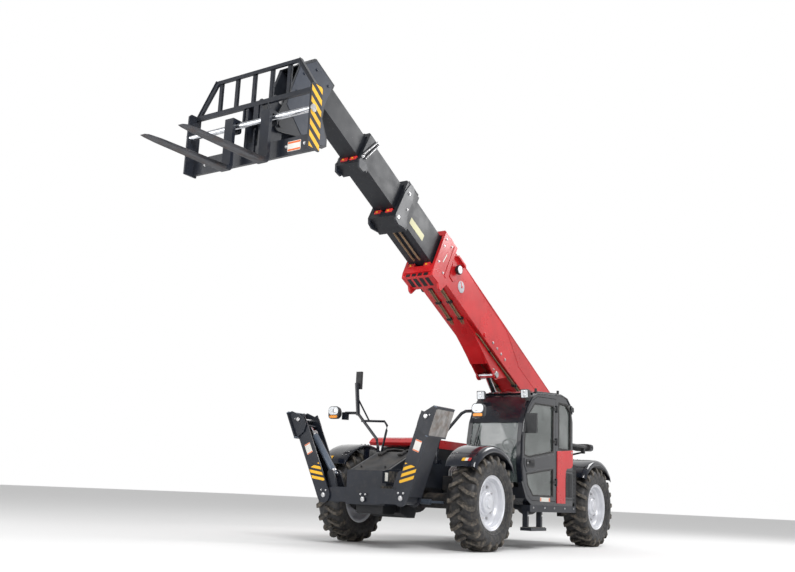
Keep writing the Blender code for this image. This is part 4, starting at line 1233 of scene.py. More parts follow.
# ---------------------------------------------------------------- stabilisers
@dataclass
class Stabiliser:
    """Swing-up leg: stripes, worn sole, cylinder glands and its safety plates."""
    shop: Workshop
    side_name: str
    side: int
    barrel: float
    depth: float = 0.286
    wide: float = 0.095

    def fit(self) -> None:
        """Dress the four nodes and add the details in the leg's own axes."""
        name = self.side_name
        pivot = self.shop.pin(name + "_stabiliser_swing")
        foot = self.shop.pin(name + "_stabiliser_foot_pin")
        lean = math.atan2(abs(foot.y) - abs(pivot.y), foot.z - pivot.z)
        length = math.hypot(abs(foot.y) - abs(pivot.y), foot.z - pivot.z)
        place = (Matrix.Translation(pivot) @ Matrix.Scale(self.side, 4, (0, 1, 0)) @ Matrix.Rotation(-lean,
                4, "X"))
        self.shop.dress(name + "_stabiliser_arm", SLATE, 0.004)
        self.shop.dress(name + "_stabiliser_foot", SLATE, 0.004)
        self.shop.dress(name + "_stabiliser_barrel", CYLINDER, 0.004)
        self.shop.dress(name + "_stabiliser_rod", CHROME, 0.001)
        self.fit_leg(place, length)
        self.fit_foot(place, length)
        self.fit_cylinder()

    def fit_leg(self, place: Matrix, length: float) -> None:
        """Slanted warning stripes, a blank plate, welds and edge strips of the leg.

        Args:
            place: the leg's axes at its pivot.
            length: distance from the pivot to the foot pin.
        """
        body = self.side_name + "_stabiliser"
        front = self.depth / 2
        stripes = Stock(place)
        tilt = 0.62 * self.wide * 2
        edge = self.wide - 0.010
        for k in range(4):
            low = 0.145 + 0.078 * k
            outline = [(-edge, low), (-edge, low + 0.042), (edge, low + 0.042 + tilt), (edge, low + tilt)]
            outline = clipped(outline, 0.16, 0.40)
            if len(outline) > 2:
                stripes.plate(outline, Axis.X, front - 0.001, front + 0.0012)
        self.shop.piece(body + "_stripes", stripes, body, WARNING)
        label = Stock(place)
        label.plate(rounded((-0.045, 0.565), (0.045, 0.700), 0.006, 2), Axis.X, front - 0.001,
                front + 0.0012)
        label.slot = 1
        for low, high in ((0.567, 0.580), (0.685, 0.698)):
            label.block((front, -0.043, low), (front + 0.0016, 0.043, high))
        self.shop.piece(body + "_plate", label, body, WHITE_LABEL, ORANGE_LABEL)
        rim = Stock(place)
        for y in (-self.wide + 0.004, self.wide - 0.004):
            rim.pipe([(front - 0.004, y, 0.07), (front - 0.004, y, length - 0.02)], 0.0035, 6)
        for x in (-front + 0.02, 0.0, front - 0.02):
            rim.block((x - 0.006, -self.wide + 0.002, 0.10), (x + 0.006, self.wide - 0.016, 0.13))
        self.shop.piece(body + "_edge_strips", rim, body, SLATE, bevel=0.001)

    def fit_foot(self, place: Matrix, length: float) -> None:
        """Scraped sole, foot pin with its bolts, and stiffening ribs.

        Args:
            place: the leg's axes at its pivot.
            length: distance from the pivot to the foot pin.
        """
        body = self.side_name + "_stabiliser_foot"
        seat = place @ Matrix.Translation((0.0, 0.0, length))
        reach = self.depth / 2 + 0.021
        sole = Stock(seat)
        outline = rounded((-reach - 0.03, -0.19), (reach + 0.03, 0.125), 0.02)
        sole.loft([[(x, y, z) for x, z in outline] for y in (0.1295, 0.1312)])
        self.shop.piece(body + "_scraped_sole", sole, body, WORN)
        pin = Stock(seat)
        for side in (-1, 1):
            pin.turned([(0.0, 0.0), (0.028, 0.0), (0.028, side * 0.012), (0.020, side * 0.018),
                    (0.0, side * 0.018)], (side * reach, 0.0, 0.0), Axis.X, 20)
            pin.bolt((side * reach, 0.045, 0.03), Axis.X, side, 0.014, 0.010)
        pin.pipe([(-reach, 0.0, 0.0), (reach, 0.0, 0.0)], 0.020, 14)
        self.shop.piece(body + "_pin", pin, body, ZINC, bevel=0.001)
        lip = Stock(seat)
        lip.block((-reach - 0.040, 0.085, 0.140), (reach + 0.040, 0.129, 0.1545))
        lip.block((-reach - 0.040, 0.095, -0.2095), (reach + 0.040, 0.129, -0.198))
        self.shop.piece(body + "_lips", lip, body, CYLINDER, bevel=0.003)

    def fit_cylinder(self) -> None:
        """Gland, clamps and feed pipes along the lifting cylinder."""
        name = self.side_name
        base = self.shop.pin(name + "_stabiliser_barrel_pin")
        axis = Vector(self.shop.joints[name + "_stabiliser_rod_slide"]["axis"])
        lean = math.atan2(axis.y, axis.z)
        place = Matrix.Translation(base) @ Matrix.Rotation(-lean, 4, "X")
        top = self.barrel
        stock = Stock(place)
        stock.turned([(0.0445, top - 0.05), (0.050, top - 0.045), (0.050, top - 0.004),
                (0.046, top + 0.002), (0.030, top + 0.002), (0.030, top - 0.05)], (0, 0, 0), Axis.Z, 24)
        stock.turned([(0.0445, 0.02), (0.048, 0.024), (0.048, 0.05), (0.0445, 0.054)], (0, 0, 0), Axis.Z,
                24)
        stock.disc((0, 0, 0), Axis.X, 0.030, -0.052, 0.052)
        self.shop.piece(name + "_stabiliser_gland", stock, name + "_stabiliser_barrel", ZINC, bevel=0.002)
        feed = Stock(place)
        for y in (-0.016, 0.016):
            feed.pipe([(-0.046, y, 0.07), (-0.062, y, 0.10), (-0.062, y, top - 0.12),
                    (-0.046, y, top - 0.08)], 0.008, 8)
        self.shop.piece(name + "_stabiliser_feed_pipes", feed, name + "_stabiliser_barrel", SEAL)


# ---------------------------------------------------------------- cab
@dataclass
class Cab:
    """Operator's cab: seals, door furniture, red rear panel, lights, seat and controls."""
    shop: Workshop
    low_y: float = 0.30
    high_y: float = 1.12
    middle: float = 0.71
    rear_x: float = -0.83
    hinge_x: float = -0.262
    upper_pane: tuple[Point2, ...] = ((-0.172, 1.31), (0.58, 1.20), (0.725, 1.22), (0.725, 1.42),
            (0.68, 1.62), (0.58, 1.80), (0.42, 1.94), (-0.172, 1.96))
    lower_pane: tuple[Point2, ...] = ((-0.172, 0.70), (0.46, 0.70), (0.62, 0.84), (0.66, 0.98),
            (-0.172, 1.08))

    def fit(self) -> None:
        """Dress the cab's nodes and fit everything on and in it."""
        self.shop.dress("cab_shell", CAB_BLACK, 0.010)
        self.shop.dress("cab_door", CAB_BLACK, 0.005)
        self.shop.dress("windscreen", TINT, 0.0005)
        self.shop.dress("rear_window", TINT, 0.0005)
        self.shop.dress("right_window", TINT, 0.0005)
        for pane in ("left_quarter_window", "door_upper_glass", "door_lower_glass"):
            self.shop.dress(pane, SIDE_TINT, 0.0005)
        self.shop.dress("battery_box", DEEP_BLACK, 0.006)
        self.shop.dress("left_mirror", BLACK_PLASTIC, 0.008)
        self.shop.dress("steering_column", BLACK_PLASTIC, 0.003)
        self.fit_seals()
        self.fit_door()
        self.fit_rear_panel()
        self.fit_rear_box()
        self.fit_roof()
        self.fit_lights()
        self.fit_wiper()
        self.fit_seat()
        self.fit_controls()
        self.fit_mirror()

    def frame_band(self, outline: Sequence[Point2], wide: float, y: float, thick: float,
            stock: Stock) -> None:
        """Add a flat ring that follows an outline, on a plane of constant y.

        Args:
            outline: inner edge, as (x, z).
            wide: width of the ring.
            y: plane of its back.
            thick: its thickness.
            stock: mesh that takes the ring.
        """
        outside = offset_outline(outline, wide)
        rings = []
        for inner, outer in zip(outline, outside):
            rings.append([(inner[0], y, inner[1]), (outer[0], y, outer[1]), (outer[0], y + thick, outer[1]),
                    (inner[0], y + thick, inner[1])])
        stock.loft(rings, closed=True)

    def fit_seals(self) -> None:
        """Rubber seals round the door's panes and the other windows."""
        door = Stock(self.shop.machine)
        for pane in (self.upper_pane, self.lower_pane):
            self.frame_band(offset_outline(pane, -0.014), 0.020, self.high_y - 0.019, 0.0215, door)
        self.shop.piece("door_seals", door, "door", SEAL, bevel=0.003)
        fixed = Stock(self.shop.machine)
        quarter = [(-0.745, 1.38), (-0.365, 1.38), (-0.365, 2.00), (-0.60, 2.00), (-0.72, 1.93),
                (-0.745, 1.85)]
        self.frame_band(quarter, 0.030, self.high_y - 0.020, 0.022, fixed)
        right = [(-0.70, 1.32), (0.50, 1.32), (0.50, 1.92), (-0.70, 1.92)]
        self.frame_band(right, 0.028, self.low_y - 0.002, 0.018, fixed)
        self.shop.piece("window_seals", fixed, "chassis", SEAL, bevel=0.003)
        rear = Stock(self.shop.machine)
        outline = rounded((0.385, 1.315), (1.035, 1.745), 0.05)
        outside = offset_outline(outline, 0.026)
        rings = []
        for inner, outer in zip(outline, outside):
            x = self.rear_x
            rings.append([(x - 0.003, *inner), (x - 0.003, *outer), (x + 0.012, *outer),
                    (x + 0.012, *inner)])
        rear.loft(rings, closed=True)
        self.shop.piece("rear_window_seal", rear, "chassis", SEAL, bevel=0.003)

    def fit_door(self) -> None:
        """Handle, hinges, middle rail, blank plate and trim on the door."""
        y = self.high_y
        panel = Stock(self.shop.machine)
        panel.plate([(-0.175, 1.100), (0.40, 1.035), (0.655, 1.000), (0.735, 1.10), (0.735, 1.185),
                (0.58, 1.175), (0.20, 1.228), (-0.175, 1.288)], Axis.Y, y - 0.001, y + 0.007)
        self.shop.piece("door_rail", panel, "door", CAB_BLACK, bevel=0.005)
        cup = Stock(self.shop.machine)
        cup.plate(rounded((0.43, 1.066), (0.68, 1.176), 0.045, 6), Axis.Y, y + 0.006, y + 0.013)
        cup.slot = 1
        cup.plate(rounded((0.455, 1.083), (0.62, 1.158), 0.033, 6), Axis.Y, y + 0.012, y + 0.0145)
        cup.slot = 0
        cup.plate(rounded((0.475, 1.128), (0.60, 1.152), 0.011), Axis.Y, y + 0.014, y + 0.030)
        cup.slot = 2
        cup.disc((0.648, 0.0, 1.121), Axis.Y, 0.013, y + 0.012, y + 0.019, 16)
        self.shop.piece("door_handle", cup, "door", BLACK_PLASTIC, DEEP_BLACK, ZINC, bevel=0.003)
        hinges = Stock(self.shop.machine)
        for z in (1.92, 1.46, 0.90):
            hinges.disc((self.hinge_x - 0.004, y + 0.008, z), Axis.Z, 0.013, -0.05, 0.05, 14)
            hinges.plate(rounded((self.hinge_x + 0.012, z - 0.026), (self.hinge_x + 0.105, z + 0.026),
                    0.012), Axis.Y, y + 0.001, y + 0.009)
            for x in (0.045, 0.085):
                hinges.bolt((self.hinge_x + x, y + 0.008, z), Axis.Y, 1, 0.016, 0.008)
        self.shop.piece("door_hinges", hinges, "door", BLACK_PLASTIC, bevel=0.002)
        leaves = Stock(self.shop.machine)
        for z in (1.92, 1.46, 0.90):
            leaves.plate(rounded((self.hinge_x - 0.075, z - 0.022), (self.hinge_x - 0.012, z + 0.022),
                    0.008), Axis.Y, y + 0.001, y + 0.007)
        self.shop.piece("hinge_leaves", leaves, "chassis", BLACK_PLASTIC, bevel=0.002)
        plate = Stock(self.shop.machine)
        plate.plate(rounded((-0.075, 0.628), (0.24, 0.684), 0.006, 2), Axis.Y, y - 0.001, y + 0.002)
        plate.slot = 1
        plate.plate([(-0.070, 0.633), (-0.030, 0.633), (-0.030, 0.679), (-0.070, 0.679)], Axis.Y, y + 0.001,
                y + 0.0026)
        plate.plate([(0.205, 0.633), (0.235, 0.633), (0.235, 0.679), (0.205, 0.679)], Axis.Y, y + 0.001,
                y + 0.0026)
        self.shop.piece("door_plate", plate, "door", WHITE_LABEL, ORANGE_LABEL, bevel=0.001)

    def fit_rear_panel(self) -> None:
        """Red panel behind the door, with its lock."""
        y = self.high_y
        outline = [(-0.288, 0.612), (-0.288, 1.332), (-0.42, 1.343), (-0.825, 1.375), (-0.825, 1.155),
                (-0.78, 1.12), (-0.62, 1.10), (-0.585, 1.06), (-0.57, 0.96), (-0.57, 0.612)]
        stock = Stock(self.shop.machine)
        stock.plate(outline, Axis.Y, y - 0.002, y + 0.010)
        self.shop.piece("rear_quarter_panel", stock, "chassis", RED, bevel=0.006)
        lock = Stock(self.shop.machine)
        lock.turned([(0.0, y + 0.009), (0.017, y + 0.009), (0.017, y + 0.015), (0.010, y + 0.017),
                (0.0, y + 0.017)], (-0.775, 0.0, 1.335), Axis.Y, 18)
        self.shop.piece("quarter_panel_lock", lock, "chassis", ZINC)

    def fit_rear_box(self) -> None:
        """Ribs, lid and strap of the box behind the cab."""
        stock = Stock(self.shop.machine)
        x, y = -0.885, 1.119
        for k in range(9):
            z = 0.63 + 0.055 * k
            stock.block((self.rear_x - 0.075, y - 0.006, z), (self.rear_x - 0.004, y + 0.002, z + 0.026))
        for z in (0.66, 1.06):
            stock.block((self.rear_x + 0.262, y + 0.001, z), (self.rear_x + 0.03, y + 0.009, z + 0.024))
        for k in range(5):
            left = self.rear_x + 0.03 + 0.046 * k
            stock.block((left, y + 0.001, 0.70), (left + 0.022, y + 0.006, 1.04))
        self.shop.piece("rear_box_ribs", stock, "chassis", BLACK_PLASTIC, bevel=0.003)
        lid = Stock(self.shop.machine)
        lid.plate([(self.rear_x - 0.001, 0.965), (-0.905, 0.965), (x - 0.082, 1.10), (x - 0.082, 1.122),
                (self.rear_x - 0.001, 1.122)], Axis.Z, 1.148, 1.172)
        self.shop.piece("rear_box_lid", lid, "chassis", DEEP_BLACK, bevel=0.005)
        skirt = Stock(self.shop.machine)
        skirt.plate([(-0.565, 0.50), (-0.565, 0.578), (-0.80, 0.578), (-0.905, 0.66), (-0.905, 0.60),
                (-0.82, 0.50)], Axis.Y, 1.035, 1.118)
        self.shop.piece("rear_box_skirt", skirt, "chassis", DEEP_BLACK, bevel=0.004)

    def fit_roof(self) -> None:
        """Roof cap, gutters, posts and bracket."""
        stock = Stock(self.shop.machine)
        top = [(0.40, 2.072), (0.30, 2.100), (-0.42, 2.150), (-0.61, 2.124), (-0.66, 2.090), (-0.60, 2.138),
                (-0.42, 2.164), (0.31, 2.116), (0.43, 2.084)]
        low, high = self.low_y + 0.045, self.high_y - 0.045
        stock.plate(top[:5] + top[5:], Axis.Y, low, high)
        for y in (0.45, 0.62, 0.80, 0.97):
            stock.plate([(0.28, 2.108), (-0.42, 2.155), (-0.42, 2.170), (0.28, 2.124)], Axis.Y, y - 0.025,
                    y + 0.025)
        self.shop.piece("roof_cap", stock, "chassis", CAB_BLACK, bevel=0.008)
        gutter = Stock(self.shop.machine)
        y = self.high_y + 0.004
        gutter.pipe([(-0.80, y, 1.90), (-0.745, y, 2.01), (-0.62, y, 2.105), (-0.42, y, 2.135),
                (0.36, y, 2.072), (0.50, y, 2.008), (0.655, y, 1.858), (0.765, y, 1.64), (0.815, y, 1.40),
                (0.815, y, 1.10), (0.77, y, 0.88)], 0.010, 10)
        self.shop.piece("roof_gutter", gutter, "chassis", CAB_BLACK)
        posts = Stock(self.shop.machine)
        for x, z in ((-0.385, 2.125), (0.335, 2.075)):
            posts.block((x - 0.014, self.high_y - 0.05, z), (x + 0.014, self.high_y - 0.02, z + 0.075))
        posts.plate([(-0.76, 1.93), (-0.855, 1.93), (-0.855, 1.99), (-0.82, 2.005), (-0.76, 1.99)], Axis.Y,
                self.high_y - 0.03, self.high_y + 0.012)
        self.shop.piece("roof_posts", posts, "chassis", BLACK_PLASTIC, bevel=0.003)
        rail = Stock(self.shop.machine)
        rail.pipe([(-0.835, 1.085, 1.46), (-1.38, 1.085, 1.46)], 0.026, 16)
        rail.disc((-1.385, 1.085, 1.46), Axis.X, 0.030, -0.008, 0.012)
        rail.block((-1.34, 1.05, 1.36), (-1.29, 1.10, 1.45))
        rail.pipe([(-1.315, 1.075, 1.38), (-1.315, 0.70, 1.30), (-1.315, 0.30, 1.22)], 0.014, 10)
        self.shop.piece("rear_capsule_rail", rail, "chassis", BLACK_PLASTIC, bevel=0.003)

    def fit_lights(self) -> None:
        """Square work lights at the roof's front corners and one at the rear."""
        for name, spot, turn in (("right", (0.665, 0.42, 2.035), 8.0), ("left", (0.640, 1.085, 2.045),
                -6.0)):
            place = (self.shop.machine @ Matrix.Translation(spot) @ Matrix.Rotation(math.radians(turn), 4,
                    "Z") @ Matrix.Rotation(math.radians(8.0), 4, "Y"))
            lamp = Stock(place)
            rings = []
            for x, half in ((-0.055, 0.030), (-0.050, 0.046), (0.0, 0.056), (0.030, 0.060)):
                rings.append([(x, y, z) for y, z in rounded((-half, -half), (half, half), 0.012)])
            lamp.loft(rings)
            lamp.slot = 1
            lamp.plate(rounded((-0.051, -0.051), (0.051, 0.051), 0.010), Axis.X, 0.029, 0.034)
            lamp.slot = 2
            for z in (-0.026, 0.026):
                lamp.turned([(0.0, 0.0335), (0.020, 0.0335), (0.020, 0.036), (0.0, 0.038)], (0.0, 0.0, z),
                        Axis.X, 18)
            lamp.slot = 0
            lamp.block((-0.035, -0.008, -0.10), (0.0, 0.008, -0.050))
            self.shop.piece(name + "_work_light", lamp, "chassis", BLACK_PLASTIC, CLEAR_LENS, REFLECTOR,
                    bevel=0.003)
        beacon = Stock(self.shop.machine @ Matrix.Translation((-0.80, self.high_y - 0.06, 1.98)))
        beacon.block((-0.055, -0.045, -0.045), (0.0, 0.045, 0.045))
        beacon.slot = 1
        beacon.block((-0.060, -0.037, -0.037), (-0.054, 0.037, 0.037))
        self.shop.piece("rear_work_light", beacon, "chassis", BLACK_PLASTIC, CLEAR_LENS, bevel=0.004)

    def fit_wiper(self) -> None:
        """Windscreen wiper, its motor cover and the dark shade at the screen's top."""
        stock = Stock(self.shop.machine)
        stock.turned([(0.0, 0.0), (0.024, 0.0), (0.020, 0.026), (0.0, 0.030)],
                (0.838, self.low_y + 0.30, 1.10), Axis.X, 18)
        stock.pipe([(0.862, self.low_y + 0.30, 1.10), (0.866, self.low_y + 0.22, 1.28),
                (0.846, self.low_y + 0.155, 1.46)], 0.007, 8)
        stock.pipe([(0.850, self.low_y + 0.10, 1.20), (0.852, self.low_y + 0.145, 1.40),
                (0.812, self.low_y + 0.185, 1.62)], 0.006, 8)
        self.shop.piece("windscreen_wiper", stock, "chassis", BLACK_PLASTIC)
        shade = Stock(self.shop.machine)
        low, high = self.low_y + 0.062, self.high_y - 0.062
        outer = [(0.786, 1.645), (0.677, 1.862), (0.520, 2.018)]
        inner = [(0.500, 2.000), (0.660, 1.850), (0.770, 1.640)]
        shade.plate(outer + inner, Axis.Y, low, high)
        self.shop.piece("windscreen_shade", shade, "chassis", CAB_BLACK, bevel=0.002)

    def cushion(self, stock: Stock, path: Sequence[tuple[float, float, float, float]],
            lift: Matrix) -> None:
        """Add a padded block as rounded rings.

        Args:
            stock: mesh that takes the cushion.
            path: (height, half depth, half width, corner radius) of each ring.
            lift: place of the cushion's foot, with Z along its height.
        """
        keep = stock.place
        stock.place = keep @ lift
        rings = []
        for along, deep, wide, radius in path:
            outline = rounded((-deep, -wide), (deep, wide), min(radius, deep * 0.98), 5)
            rings.append([(x, y, along) for x, y in outline])
        stock.loft(rings)
        stock.place = keep

    def fit_seat(self) -> None:
        """Suspension base, padded cushion, backrest, headrest and armrests."""
        base = Stock(self.shop.machine)
        floor = 0.632
        base.block((-0.54, self.middle - 0.17, floor), (-0.16, self.middle + 0.17, floor + 0.05))
        for k in range(5):
            z = floor + 0.055 + 0.036 * k
            grow = 0.012 * (k % 2)
            base.block((-0.52 - grow, self.middle - 0.15 - grow, z), (-0.18 + grow,
                    self.middle + 0.15 + grow, z + 0.032))
        base.block((-0.56, self.middle - 0.19, 0.865), (-0.12, self.middle + 0.19, 0.905))
        self.shop.piece("seat_base", base, "chassis", BLACK_PLASTIC, bevel=0.005)
        seat = Stock(self.shop.machine)
        foot = Matrix.Translation((-0.34, self.middle, 0.905))
        self.cushion(seat, ((0.0, 0.25, 0.225, 0.05), (0.012, 0.268, 0.243, 0.06), (0.06, 0.28, 0.25, 0.07),
                (0.105, 0.275, 0.245, 0.07), (0.130, 0.255, 0.225, 0.06), (0.140, 0.21, 0.18, 0.05)), foot)
        for side in (-1, 1):
            roll = Matrix.Translation((-0.33, self.middle + side * 0.205, 0.985))
            self.cushion(seat, ((0.0, 0.225, 0.030, 0.028), (0.03, 0.235, 0.040, 0.036),
                    (0.058, 0.225, 0.030, 0.028), (0.064, 0.20, 0.016, 0.014)), roll)
        lean = Matrix.Translation((-0.565, self.middle, 1.02)) @ Matrix.Rotation(math.radians(-7.6), 4, "Y")
        self.cushion(seat, ((0.0, 0.035, 0.205, 0.03), (0.02, 0.052, 0.228, 0.05),
                (0.10, 0.060, 0.240, 0.055), (0.30, 0.058, 0.240, 0.055), (0.48, 0.052, 0.222, 0.05),
                (0.56, 0.042, 0.190, 0.04), (0.585, 0.022, 0.150, 0.02)), lean)
        head = Matrix.Translation((-0.638, self.middle, 1.60)) @ Matrix.Rotation(math.radians(-7.6), 4, "Y")
        self.cushion(seat, ((0.0, 0.025, 0.095, 0.02), (0.02, 0.036, 0.118, 0.035),
                (0.10, 0.036, 0.125, 0.035), (0.17, 0.030, 0.112, 0.028), (0.195, 0.014, 0.09, 0.013)),
                head)
        made = self.shop.piece("seat_cushions", seat, "chassis", SEAT_CLOTH, replaces=("operator_seat",),
                bevel=0.006, smooth=50.0, segments=3)
        arms = Stock(self.shop.machine)
        for side in (-1, 1):
            y = self.middle + side * 0.285
            arms.pipe([(-0.58, y, 1.18), (-0.52, y, 1.20), (-0.28, y, 1.205), (-0.22, y, 1.195)], 0.024, 12)
            arms.pipe([(-0.60, self.middle + side * 0.235, 1.17), (-0.57, y, 1.175)], 0.014, 8)
        for y in (-0.055, 0.055):
            arms.pipe([(-0.628, self.middle + y, 1.53), (-0.640, self.middle + y, 1.63)], 0.007, 8)
        self.shop.piece("seat_armrests", arms, "chassis", BLACK_PLASTIC, bevel=0.002)

    def fit_controls(self) -> None:
        """Dashboard hood, pedals, levers, floor mat and roof lining."""
        dash = Stock(self.shop.machine)
        dash.plate([(0.30, 0.99), (0.46, 0.98), (0.55, 1.08), (0.54, 1.20), (0.44, 1.25), (0.37, 1.18),
                (0.31, 1.10)], Axis.Y, self.middle - 0.17, self.middle + 0.17)
        self.shop.piece("dashboard", dash, "chassis", BLACK_PLASTIC, bevel=0.015)
        gear = Stock(self.shop.machine)
        gear.plate(rounded((-0.50, 0.635), (0.20, 1.02), 0.05), Axis.Y, self.low_y + 0.035,
                self.low_y + 0.115)
        gear.pipe([(0.02, self.low_y + 0.09, 1.01), (0.05, self.low_y + 0.12, 1.16)], 0.010, 10)
        gear.turned([(0.0, -0.02), (0.020, -0.012), (0.026, 0.012), (0.018, 0.035), (0.0, 0.040)],
                (0.053, self.low_y + 0.122, 1.17), Axis.Z, 16)
        for y in (self.middle - 0.12, self.middle + 0.13):
            gear.plate([(0.52, 0.66), (0.545, 0.67), (0.50, 0.79), (0.475, 0.78)], Axis.Y, y - 0.03,
                    y + 0.03)
        self.shop.piece("cab_console_and_pedals", gear, "chassis", BLACK_PLASTIC, bevel=0.004)
        lining = Stock(self.shop.machine)
        lining.plate([(-0.70, 2.055), (0.28, 2.000), (0.30, 2.020), (-0.42, 2.078), (-0.60, 2.066)], Axis.Y,
                self.low_y + 0.04, self.high_y - 0.04)
        lining.block((-0.77, self.low_y + 0.04, 0.628), (0.48, self.high_y - 0.04, 0.634))
        self.shop.piece("cab_lining", lining, "chassis", SEAL, bevel=0.002)

    def fit_mirror(self) -> None:
        """Reflecting face of the cab's mirror."""
        stock = Stock(self.shop.machine)
        stock.plate(rounded((1.143, 1.520), (1.288, 1.760), 0.02), Axis.X, 0.6965, 0.6995)
        self.shop.piece("left_mirror_face", stock, "chassis", MIRROR_GLASS)


# ---------------------------------------------------------------- engine side
@dataclass
class EngineSide:
    """Hood, pod and engine on the right-hand side, with grilles."""
    shop: Workshop
    low_y: float = -1.08
    high_y: float = -0.32

    def fit(self) -> None:
        """Dress the nodes and add grilles, louvres, latches and engine covers."""
        self.shop.dress("engine_pod", DEEP_BLACK, 0.008)
        self.shop.dress("engine_block", CASTING, 0.010)
        self.shop.dress("engine_hood", RED, 0.012)
        grille = Stock(self.shop.machine)
        y = self.low_y
        for k in range(12):
            z = 0.72 + 0.040 * k
            grille.plate([(y - 0.009, z), (y + 0.001, z + 0.018), (y + 0.001, z + 0.026),
                    (y - 0.009, z + 0.010)], Axis.X, -0.62, 0.10)
        for x in (-0.64, 0.10):
            grille.block((x, y - 0.010, 0.70), (x + 0.02, y + 0.001, 1.21))
        self.shop.piece("pod_side_grille", grille, "chassis", BLACK_PLASTIC, bevel=0.002)
        slots = Stock(self.shop.machine)
        for k in range(9):
            low = self.low_y + 0.12 + 0.058 * k
            slots.plate(rounded((low, 0.70), (low + 0.028, 1.18), 0.012), Axis.X, 0.858, 0.866)
        self.shop.piece("pod_front_grille", slots, "chassis", BLACK_PLASTIC, bevel=0.002)
        hood = Stock(self.shop.machine)
        for x in (-0.70, -0.42, -0.14, 0.14, 0.42, 0.70):
            hood.plate(rounded((x - 0.09, self.low_y + 0.16), (x + 0.09, self.low_y + 0.30), 0.02), Axis.Z,
                    1.424, 1.434)
        self.shop.piece("hood_louvres", hood, "hood", DEEP_BLACK, bevel=0.004)
        latch = Stock(self.shop.machine)
        for x in (-0.55, 0.60):
            latch.plate(rounded((x - 0.05, 1.325), (x + 0.05, 1.365), 0.012), Axis.Y, self.low_y - 0.018,
                    self.low_y - 0.008)
        self.shop.piece("hood_latches", latch, "hood", BLACK_PLASTIC, bevel=0.003)
        block = Stock(self.shop.machine)
        for k in range(4):
            x = -0.33 + 0.22 * k
            block.turned([(0.0, 1.175), (0.055, 1.175), (0.055, 1.215), (0.035, 1.235), (0.0, 1.235)],
                    (x, -0.70, 0.0), Axis.Z, 20)
        block.pipe([(-0.38, -0.56, 1.19), (0.38, -0.56, 1.19)], 0.030, 12)
        self.shop.piece("engine_covers", block, "chassis", CASTING, bevel=0.004)


# ---------------------------------------------------------------- lamps and mirrors
@dataclass
class FrontLamps:
    """Headlamps and the right-hand mirror on their bent tube frames."""
    shop: Workshop
    x: float = 1.97
    y: float = 1.12
    z: float = 1.69

    def fit(self) -> None:
        """Dress the frames and build a lamp on each."""
        for side_name, side in (("left", 1), ("right", -1)):
            self.shop.dress(side_name + "_lamp_frame", CAB_BLACK, 0.0015)
            place = (self.shop.machine @ Matrix.Scale(side, 4, (0, 1, 0)) @ Matrix.Translation((self.x,
                    self.y, self.z)))
            self.fit_lamp(side_name, place)
        self.shop.dress("right_mirror", BLACK_PLASTIC, 0.008)
        face = Stock(self.shop.machine)
        face.plate(rounded((-0.898, 2.030), (-0.822, 2.250), 0.015), Axis.X, 1.7815, 1.7845)
        self.shop.piece("right_mirror_face", face, "chassis", MIRROR_GLASS)

    def fit_lamp(self, side_name: str, place: Matrix) -> None:
        """One headlamp: housing, lens, reflector bowl and its turn signal.

        Args:
            side_name: left or right.
            place: the lamp's axes, with X forward.
        """
        body = Stock(place)
        rings = []
        for x, half, low, high in ((-0.090, 0.030, -0.035, 0.030), (-0.080, 0.055, -0.060, 0.050),
                (-0.030, 0.082, -0.085, 0.074), (0.020, 0.088, -0.088, 0.082),
                (0.034, 0.088, -0.088, 0.082)):
            rings.append([(x, y, z) for y, z in rounded((-half, low), (half, high), min(half * 0.7, 0.05),
                    5)])
        body.loft(rings)
        body.slot = 1
        body.plate(rounded((-0.078, -0.032), (0.078, 0.074), 0.045, 6), Axis.X, 0.033, 0.040)
        body.slot = 2
        body.plate(rounded((-0.066, -0.076), (0.066, -0.040), 0.014), Axis.X, 0.033, 0.039)
        body.slot = 3
        body.turned([(0.0, 0.0395), (0.030, 0.0395), (0.033, 0.0415), (0.028, 0.0425), (0.0, 0.0412)],
                (0.0, -0.020, 0.022), Axis.X, 24)
        self.shop.piece(side_name + "_headlamp_unit", body, "chassis", BLACK_PLASTIC, CLEAR_LENS, AMBER,
                REFLECTOR, replaces=(side_name + "_headlamp",), bevel=0.004)


